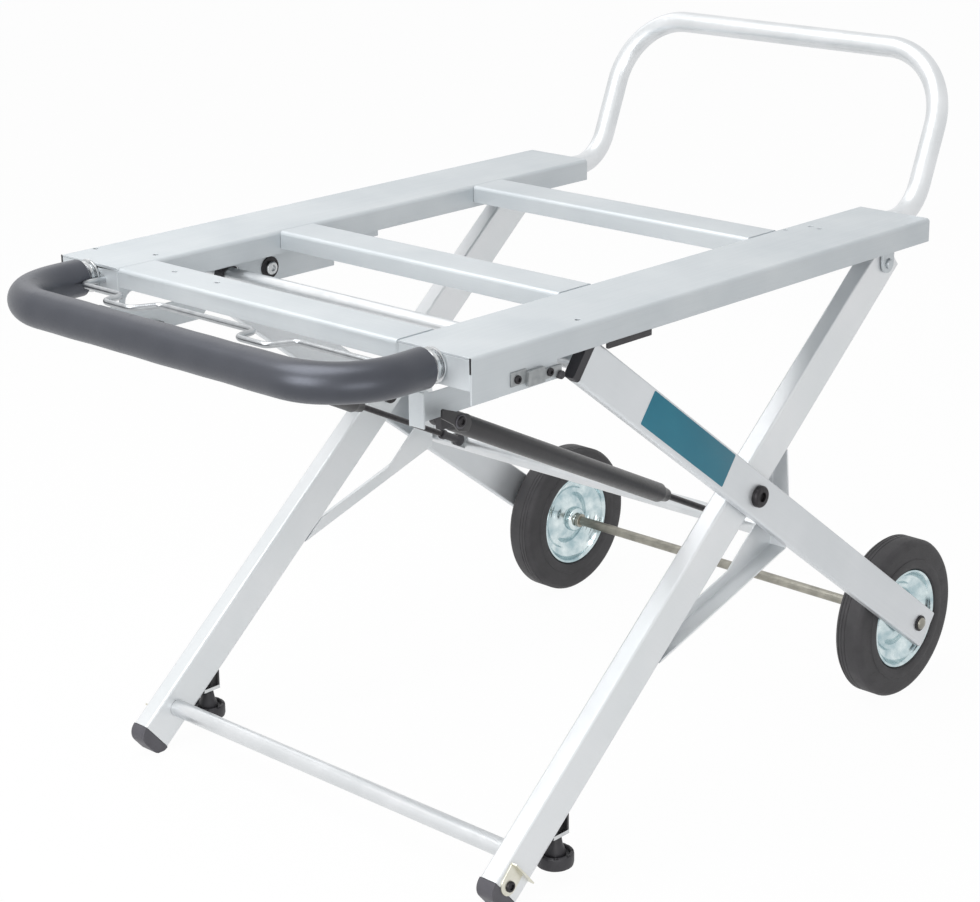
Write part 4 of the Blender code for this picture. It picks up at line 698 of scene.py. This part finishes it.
# The rod's fitting: radius and distance after its start, then before the rod's end
FITTING_NUT = ((0.0025, 0.0), (0.0052, 0.0), (0.0060, 0.0010), (0.0060, 0.0060), (0.0048, 0.0075))
FITTING_TIP = ((0.0048, 0.0060), (0.0030, 0.0040))
LUG_REACH, LUG_SHEET, LUG_GAP, LUG_EDGE, LUG_ROUND = 0.027, 0.003, 0.0003, 0.0004, 0.98
lug = box_outline(LUG_REACH + 2 * ROD_EYE_RADIUS, 2 * ROD_EYE_RADIUS, LUG_ROUND * ROD_EYE_RADIUS, steps=10)
rod_length = (cross_at - at_x(0.0, STRUT_EYE)).length - LUG_REACH
for hand, side in SIDES:
    eye = at_x(side * STRUT_X, STRUT_EYE)
    barrel_body, rod_body = hand + "_strut_barrel", hand + "_strut_rod"
    end = STRUT_BARREL[hand]
    turn = np.linspace(0.0, math.pi / 2, 6)
    front = np.stack((STRUT_RADIUS - STRUT_ROUND * (1 - np.sin(turn)),
                      SHANK_END + STRUT_ROUND * (1 - np.cos(turn))), axis=1)
    barrel = [(CAP_WIDE, SHANK_START), (SHANK_RADIUS, SHANK_START), (SHANK_RADIUS, SHANK_END)]
    barrel += front.tolist()
    barrel += [(STRUT_RADIUS - depth, end - before) for depth, before in STRUT_NECK]
    barrel += [(STRUT_BORE, end), (STRUT_BORE, end - STRUT_BORE_DEPTH), (CAP_WIDE, end - STRUT_BORE_DEPTH)]
    turned_node("strut_barrel_" + hand, "_tube", barrel, eye, STRUT_LINE, PAINT, sides=56)
    boss = edged_bar(EYE_BORE, EYE_RADIUS, -EYE_HALF, EYE_HALF, EYE_EDGE, EYE_EDGE)[:-1]
    boss += [(EYE_RECESS_RADIUS, EYE_HALF), (EYE_RECESS_RADIUS - EYE_RECESS_SLOPE, EYE_HALF - EYE_RECESS),
             (EYE_BORE, EYE_HALF - EYE_RECESS)]
    turned("strut_eye_" + hand, boss, eye, ACROSS * -side, PLASTIC, barrel_body, "black_steel",
           ring=True, sides=48)
    rod = [(CAP_NARROW, end - STRUT_INSERT), (ROD_RADIUS, end - STRUT_INSERT), (ROD_RADIUS, rod_length),
           (CAP_NARROW, rod_length)]
    turned_node("strut_rod_" + hand, "_bar", rod, eye, STRUT_LINE, BLACKED, sides=40)
    start = rod_length - STRUT_FITTING[hand]
    fitting = [(r, start + after) for r, after in FITTING_NUT]
    fitting += [(r, rod_length - before) for r, before in FITTING_TIP]
    turned("strut_fitting_" + hand, fitting, eye, STRUT_LINE, PLASTIC, rod_body, "black_steel", sides=40)
    rod_eye = edged_bar(ROD_EYE_CAP, ROD_EYE_RADIUS, -ROD_EYE_HALF, ROD_EYE_HALF, ROD_EYE_EDGE, ROD_EYE_EDGE)
    turned("strut_rod_eye_" + hand, rod_eye, eye + rod_length * STRUT_LINE, ACROSS * side, PLASTIC,
           rod_body, "black_steel", sides=40)
    lug_seat = at_x(side * (STRUT_X + ROD_EYE_HALF + LUG_GAP), cross_at)
    lug_seat -= LUG_REACH / 2 * STRUT_LINE
    plate("strut_lug_" + hand, lug, LUG_SHEET, LUG_EDGE, lug_seat, STRUT_LINE, ACROSS * side, GALVANISED,
          "wheel_frame")


# Levelling feet: knob with a notched rim round a cone, on a threaded stud

KNOB_RADIUS, KNOB_HEIGHT, KNOB_NOTCHES, NOTCH_DEPTH = 0.0200, 0.0160, 8, 0.0024
# Notches: the rim's middle and half width, the least height, and the wave that spaces them
NOTCH_AT, NOTCH_HALF, NOTCH_ABOVE, NOTCH_WAVE, NOTCH_LEVEL = 0.0176, 0.0012, 0.9 * KNOB_HEIGHT, 4.0, 2.2
STUD_RADIUS, STUD_TOP, STUD_EDGE, NECK_TOP = 0.0040, 0.070, 0.0005, 0.032
# The thread's pitch is 1.25 mm; it is drawn as rings 1.5 mm apart
THREAD_PITCH, THREAD_DEPTH, THREAD_CREST, THREAD_MARGIN = 0.0015, 0.0004, 0.6, 0.001


def notched(r, h, t):
    """Notches in the knob's raised rim: a depth where the cosine of the notch count times t is high."""
    dip = np.clip(NOTCH_WAVE * np.cos(KNOB_NOTCHES * t) - NOTCH_LEVEL, 0.0, 1.0)
    return NOTCH_DEPTH * dip * (np.abs(r - NOTCH_AT) < NOTCH_HALF) * (h > NOTCH_ABOVE)


turns = np.arange(NECK_TOP + THREAD_MARGIN, STUD_TOP - THREAD_MARGIN, THREAD_PITCH)
thread = [row for at in turns for row in ((STUD_RADIUS, at + THREAD_CREST * THREAD_PITCH),
                                          (STUD_RADIUS - THREAD_DEPTH, at))][::-1]
# From the stud's top down: stud, neck, cone, groove, raised rim, side and foot
knob = [(CAP_NARROW, STUD_TOP), (STUD_RADIUS - STUD_EDGE, STUD_TOP)] + thread
knob += [(STUD_RADIUS, NECK_TOP), (0.0064, NECK_TOP), (0.0070, NECK_TOP - 0.0008), (0.0082, 0.0240),
         (0.0112, KNOB_HEIGHT + 0.0006), (0.0118, KNOB_HEIGHT - 0.0040), (0.0154, KNOB_HEIGHT - 0.0040),
         (0.0160, KNOB_HEIGHT - 0.0008), (0.0168, KNOB_HEIGHT), (0.0184, KNOB_HEIGHT),
         (0.0196, KNOB_HEIGHT - 0.0012), (KNOB_RADIUS, KNOB_HEIGHT - 0.0030), (KNOB_RADIUS, 0.0045),
         (0.0192, 0.0014), (0.0172, 0.0), (CAP_WIDE, 0.0)]
# Shelf plate at the bracket's foot, a little behind its middle; the stud runs clear through its bore
SHELF_BACK, SHELF_WIDTH, SHELF_PLATE, SHELF_UNDER, SHELF_SHIFT = 0.003, 0.0188, 0.0042, 0.0006, 0.0004
SHELF_CORNER, SHELF_EDGE, SHELF_BORE, SHELF_SPACING = 0.0012, 0.0004, 0.0046, 0.001
for hand, side in SIDES:
    node = "levelling_foot_" + hand
    low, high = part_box(node)
    seat = Vector(((low.x + high.x) / 2, (low.y + high.y) / 2, low.z))
    turned_node(node, "_knob", knob, seat, UP, PLASTIC, sides=96, sink=notched)
    low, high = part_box("foot_bracket_" + hand)
    shelf = box_outline(high.y - low.y - SHELF_BACK, SHELF_WIDTH, SHELF_CORNER)
    shelf = refined(np.concatenate((shelf, shelf[:1])), SHELF_SPACING)[0][:-1]
    shelf_y = (low.y + high.y + SHELF_BACK) / 2 + SHELF_SHIFT
    shelf_at = Vector(((low.x + high.x) / 2, shelf_y, low.z - SHELF_UNDER))
    plate("levelling_shelf_" + hand, shelf, SHELF_PLATE, SHELF_EDGE, shelf_at, BACK, UP, BRIGHT_ZINC,
          "foot_frame", SHELF_BORE)


# Small plates, screws and strips

THIN_EDGE, PLATE_CORNER, FLANGE_GAP, RAIL_SHEET = 0.0004, 0.0010, 0.0003, 0.002
# Foot tab on a leg's outer face, just above the cap: along the leg from the pivot, and forward of its middle
FOOT_TAB = [(0.4745, 0.0180), (0.5030, 0.0150), (0.5030, -0.0090), (0.4735, -0.0062)]
FOOT_TAB_CORNERS = [0.0010, 0.0115, 0.0110, 0.0010]
FOOT_TAB_SHEET, FOOT_TAB_BOLT = 0.0015, (0.4925, 0.0025)
FOOT_TAB_LIP, FOOT_TAB_LIP_AT, FOOT_TAB_LIP_RISE = (0.0400, 0.0018), (0.4738, -0.0020), 0.0070
LIP_CORNER, LIP_EDGE = 0.0004, 0.0003
# Screw heads: radius, height and socket
TAB_HEAD, LATCH_HEAD = (0.0058, 0.0030, 0.0030), (0.0042, 0.0022, 0.0018)
GUIDE_HEAD, COVER_HEAD = (0.0075, 0.0045, 0.0034), (0.0055, 0.0028, 0.0026)
# Rings under them: bore, radius, height and edge
GUIDE_WASHER, COVER_RING = (0.0040, 0.0125, 0.0014, 0.0004), (0.0050, 0.0070, 0.0012, 0.0004)
LATCH_TAB_SHEET, LATCH_BOX_DEPTH, LATCH_HOOK_DEPTH = 0.0010, 0.0040, 0.0022
# Places on the deck are given behind its front edge and below its top. Latch plates: name, place, length and
# width, and depth; screws on two of them: place and seat
LATCH_PLATES = (("latch_tab_", (0.0620, 0.0320), (0.0215, 0.0140), LATCH_TAB_SHEET),
                ("latch_box_", (0.0840, 0.0350), (0.0230, 0.0150), LATCH_BOX_DEPTH),
                ("latch_hook_", (0.1080, 0.0360), (0.0250, 0.0100), LATCH_HOOK_DEPTH))
LATCH_SCREWS = (((0.0600, 0.0330), LATCH_TAB_SHEET), ((0.1035, 0.0350), LATCH_HOOK_DEPTH))
LATCH_KNOB, LATCH_KNOB_RADIUS, LATCH_KNOB_HEIGHT, LATCH_KNOB_EDGE = (0.1185, 0.0410), 0.0042, 0.0058, 0.0016
EDGE_STRIP, EDGE_STRIP_SIZE, EDGE_STRIP_WIDTH = (0.2230, 0.0288), (0.0660, 0.0065), 0.0028
GUIDE_BOLT = (0.2220, 0.0430)
STRUT_COVER = ((0.0220, 0.0650), (0.0585, 0.0785), (0.0610, 0.0870), (0.0570, 0.0960), (0.0435, 0.0920),
               (0.0375, 0.0845), (0.0215, 0.0745))
STRUT_COVER_CORNERS = (0.0020, 0.0040, 0.0040, 0.0040, 0.0040, 0.0040, 0.0020)
STRUT_COVER_SHEET, STRUT_COVER_EDGE, STRUT_COVER_BOLT = 0.0030, 0.0008, (0.0455, 0.0825)
GUIDE_TAIL, GUIDE_TAIL_SIZE, GUIDE_TAIL_SHEET = (0.3470, 0.0255), (0.0620, 0.0145), 0.0015
# Painted shade of the slit at the deck's front corners: its place, size and inset from the edge, then its depth,
# corner and edge
CORNER_SLIT, CORNER_SLIT_SIZE, CORNER_SLIT_IN = (0.0, 0.0080), (0.0155, 0.0022), 0.0014
CORNER_SLIT_DEPTH, CORNER_SLIT_CORNER, CORNER_SLIT_EDGE = 0.0003, 0.0004, 0.0001
# Panel on the right wheel leg: its place along the leg before the pivot, and above the leg's middle
LABEL_SIZE, LABEL_CORNER, LABEL_FILM, LABEL_AT, LABEL_RISE = (0.168, 0.037), 0.0015, 0.0003, 0.151, 0.0015
MOUTH_WALL, MOUTH_CORNER, MOUTH_PLUG, MOUTH_RECESS = 0.0023, 0.0015, 0.0040, 0.0015
LEG_DEPTH, WHEEL_LEG_TAIL, FOOT_LEG_OVERHANG = 0.045, 0.024, 0.015


def on_deck(x, at):
    """A point at x across, so far behind the deck's front edge and below its top."""
    return Vector((x, DECK_FRONT + at[0], DECK_TOP - at[1]))


def deck_plate(name, x, at, size, depth, material):
    """Upright plate along the deck at x across, its outer face turned away from the middle."""
    return plate(name, box_outline(*size, PLATE_CORNER), depth, THIN_EDGE, on_deck(x, at), BACK,
                 ACROSS * math.copysign(1.0, x), material, "deck")


def mouth_plug(name, node, end, line, body):
    """Plug set a little inside a leg's open end."""
    low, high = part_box(node)
    outline = box_outline(high.x - low.x - 2 * MOUTH_WALL, LEG_DEPTH - 2 * MOUTH_WALL, MOUTH_CORNER)
    seat = at_x((low.x + high.x) / 2, end) - (MOUTH_PLUG + MOUTH_RECESS) * line
    plate(name, outline, MOUTH_PLUG, THIN_EDGE, seat, ACROSS, line, PLASTIC, body)


foot_tab = rounded_path(FOOT_TAB, FOOT_TAB_CORNERS, steps=8, closed=True)
foot_tab_lip = box_outline(*FOOT_TAB_LIP, LIP_CORNER, steps=3)
strut_cover = rounded_path(STRUT_COVER, STRUT_COVER_CORNERS, steps=6, closed=True)
corner_slit_painted_shade = box_outline(*CORNER_SLIT_SIZE, CORNER_SLIT_CORNER, steps=3)
latch_knob = [(CAP_NARROW, LATCH_KNOB_HEIGHT), (LATCH_KNOB_RADIUS - LATCH_KNOB_EDGE, LATCH_KNOB_HEIGHT),
              (LATCH_KNOB_RADIUS, LATCH_KNOB_HEIGHT - LATCH_KNOB_EDGE), (LATCH_KNOB_RADIUS, 0.0),
              (CAP_NARROW, 0.0)]
forward = FOOT_LINE.cross(ACROSS)
for hand, side in SIDES:
    out = ACROSS * side
    flip = np.array((1.0, -side))
    face = at_x(side * FOOT_LEG_FACE, PIVOT)
    plate("foot_tab_" + hand, foot_tab * flip, FOOT_TAB_SHEET, THIN_EDGE, face, FOOT_LINE, out, TAB_ZINC,
          "foot_frame")
    lip_at = face + FOOT_TAB_LIP_AT[0] * FOOT_LINE + FOOT_TAB_LIP_AT[1] * forward
    plate("foot_tab_lip_" + hand, foot_tab_lip, FOOT_TAB_LIP_RISE, LIP_EDGE, lip_at, forward, out,
          TAB_ZINC, "foot_frame")
    bolt_at = face + FOOT_TAB_BOLT[0] * FOOT_LINE + FOOT_TAB_BOLT[1] * forward + FOOT_TAB_SHEET * out
    turned("foot_tab_bolt_" + hand, socket_head(*TAB_HEAD), bolt_at, out, BLACKED, "foot_frame",
           "black_steel", sides=36)

    rail_face = side * (DECK_EDGE + FLANGE_GAP)
    for name, at, size, depth in LATCH_PLATES:
        made = deck_plate(name + hand, rail_face, at, size, depth, GALVANISED)
        if name == "latch_box_":
            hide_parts("latch_plate_" + hand)
    for number, (at, rise) in enumerate(LATCH_SCREWS):
        turned("latch_screw_%s_%d" % (hand, number), socket_head(*LATCH_HEAD),
               on_deck(rail_face, at) + rise * out, out, BLACKED, "deck", "black_steel", sides=36)
    turned("latch_knob_" + hand, latch_knob, on_deck(rail_face, LATCH_KNOB), out, PLASTIC, "deck",
           "black_plastic", sides=36)

    deck_plate("edge_strip_" + hand, side * (DECK_EDGE - EDGE_STRIP_WIDTH + FLANGE_GAP), EDGE_STRIP,
               EDGE_STRIP_SIZE, EDGE_STRIP_WIDTH, RUBBER)

    guide_seat = on_deck(side * GUIDE_INNER, GUIDE_BOLT)
    turned("guide_washer_" + hand, flat_ring(*GUIDE_WASHER), guide_seat, -out, BLACKED, "deck",
           "black_steel", ring=True, sides=48)
    turned("guide_bolt_" + hand, socket_head(*GUIDE_HEAD), guide_seat - GUIDE_WASHER[2] * out, -out,
           BRIGHT_ZINC, "deck", "zinc_plated_steel", sides=40)

    cover_seat = on_deck(side * GUIDE_OUTER, (0.0, 0.0))
    plate("strut_cover_" + hand, strut_cover * flip, STRUT_COVER_SHEET, STRUT_COVER_EDGE, cover_seat,
          BACK, out, PAINT, "deck")
    ring_seat = on_deck(cover_seat.x + side * STRUT_COVER_SHEET, STRUT_COVER_BOLT)
    turned("strut_cover_ring_" + hand, flat_ring(*COVER_RING), ring_seat, out, CAP, "deck",
           "black_steel", ring=True, sides=40)
    turned("strut_cover_bolt_" + hand, socket_head(*COVER_HEAD), ring_seat, out, BLACKED, "deck",
           "black_steel", sides=40)

    deck_plate("guide_tail_" + hand, side * (RAIL_INNER + RAIL_SHEET), GUIDE_TAIL, GUIDE_TAIL_SIZE,
               GUIDE_TAIL_SHEET, SHEET_Y)
    # A thin black strip on the deck's front face at each outer corner: painted shade standing in for the dark slit
    # between the end plate and the rail's flange.
    slit_seat = on_deck(side * (DECK_EDGE - CORNER_SLIT_IN), CORNER_SLIT)
    plate("corner_slit_painted_shade_" + hand, corner_slit_painted_shade, CORNER_SLIT_DEPTH, CORNER_SLIT_EDGE, slit_seat, UP, -BACK,
          BLACKED, "deck")

    tail = AXLE + WHEEL_LEG_TAIL * WHEEL_LINE
    mouth_plug("wheel_leg_end_" + hand, "wheel_leg_" + hand, tail, WHEEL_LINE, "wheel_frame")
    top = HINGE - FOOT_LEG_OVERHANG * FOOT_LINE
    mouth_plug("foot_leg_end_" + hand, "foot_leg_" + hand, top, -FOOT_LINE, "foot_frame")

label_at = at_x(WHEEL_LEG_FACE, PIVOT) - LABEL_AT * WHEEL_LINE
label_at += LABEL_RISE * ACROSS.cross(WHEEL_LINE)
plate("side_panel_film", box_outline(*LABEL_SIZE, LABEL_CORNER), LABEL_FILM, LABEL_FILM / 3, label_at,
      WHEEL_LINE, ACROSS, VINYL, "wheel_frame")


# Camera, light and floor

CAMERA_AT = (1.729, -1.873, 1.195)
# The camera's turn about the vertical, its look down and its roll, in degrees
CAMERA_TURN, CAMERA_DOWN, CAMERA_ROLL = (math.radians(angle) for angle in (43.17, 18.44, -0.51))
LENS_MM, SENSOR_MM, FAR = 88.06, 36.0, 50.0
lens = bpy.data.cameras.new("view")
lens.sensor_fit = "HORIZONTAL"
lens.sensor_width = SENSOR_MM
lens.lens = LENS_MM
lens.clip_end = FAR
camera = bpy.data.objects.new("view", lens)
bpy.context.scene.collection.objects.link(camera)
camera.matrix_world = (Matrix.Translation(CAMERA_AT) @ Matrix.Rotation(CAMERA_TURN, 4, "Z")
                       @ Matrix.Rotation(math.pi / 2 - CAMERA_DOWN, 4, "X")
                       @ Matrix.Rotation(CAMERA_ROLL, 4, "Z"))
bpy.context.scene.camera = camera
bpy.context.scene.view_settings.view_transform = "Standard"


def seen_directly(tree):
    """1 for what the camera sees, directly, mirrored or through glass, and 0 for light on the part."""
    rays = add(tree, "ShaderNodeLightPath").outputs
    plain = add(tree, "ShaderNodeMath", {0: rays["Is Camera Ray"], 1: rays["Is Glossy Ray"]}, operation="ADD")
    return add(tree, "ShaderNodeMath", {0: plain.outputs[0], 1: rays["Is Transmission Ray"]}, operation="ADD",
               use_clamp=True).outputs[0]


# White room: seen as plain white, while less of it lights the part
SKY_LIGHT, SKY_SEEN = 0.42, 1.0
world = bpy.data.worlds.new("studio")
bpy.context.scene.world = world
world.use_nodes = True
sky = world.node_tree
sky.nodes.clear()
strength = add(sky, "ShaderNodeMapRange", {
    "Value": seen_directly(sky), "To Min": SKY_LIGHT, "To Max": SKY_SEEN})
white = add(sky, "ShaderNodeBackground", {"Color": linear("#FFFFFF"), "Strength": strength.outputs[0]})
add(sky, "ShaderNodeOutputWorld", {"Surface": white.outputs[0]})

# White paper floor: nearly all of what is seen of it is plain white, the rest carries the part's shadow
FLOOR_HALF, FLOOR_Z, PAPER_WHITE = 20, -0.0005, 0.97
floor_mesh = bpy.data.meshes.new("floor")
floor_corners = [(x * FLOOR_HALF, y * FLOOR_HALF, FLOOR_Z) for x, y in ((-1, -1), (1, -1), (1, 1), (-1, 1))]
floor_mesh.from_pydata(floor_corners, [], [(0, 1, 2, 3)])
floor = bpy.data.objects.new("floor", floor_mesh)
bpy.context.scene.collection.objects.link(floor)
paper = bpy.data.materials.new("white_paper_sweep")
paper.use_nodes = True
tree = paper.node_tree
tree.nodes.clear()
share = add(tree, "ShaderNodeMath", {0: seen_directly(tree), 1: PAPER_WHITE}, operation="MULTIPLY")
lit = add(tree, "ShaderNodeBsdfDiffuse", {"Color": linear("#F2F2F2")})
glow = add(tree, "ShaderNodeEmission", {"Color": linear("#FFFFFF"), "Strength": 1.0})
both = add(tree, "ShaderNodeMixShader", {0: share.outputs[0], 1: lit.outputs[0], 2: glow.outputs[0]})
add(tree, "ShaderNodeOutputMaterial", {"Surface": both.outputs[0]})
floor_mesh.materials.append(paper)


def lamp(name, place, aim, size, power):
    """Square soft box aimed at a point: its side in metres and its power in watts."""
    light = bpy.data.lights.new(name, "AREA")
    light.size = size
    light.energy = power
    box = bpy.data.objects.new(name, light)
    bpy.context.scene.collection.objects.link(box)
    box.matrix_world = (Matrix.Translation(place)
                        @ (Vector(aim) - Vector(place)).to_track_quat("-Z", "Y").to_matrix().to_4x4())


lamp("top_box", place=(-0.3, -0.9, 2.6), aim=(0.0, -0.1, 0.4), size=1.8, power=42.0)
lamp("front_box", place=(0.3, -2.6, 1.3), aim=(0.0, 0.0, 0.4), size=1.4, power=32.0)
lamp("side_box", place=(2.0, -1.3, 0.3), aim=(0.2, 0.0, 0.3), size=1.2, power=11.0)
lamp("left_box", place=(-2.2, 0.7, 2.1), aim=(0.0, -0.3, 0.5), size=1.2, power=3.0)
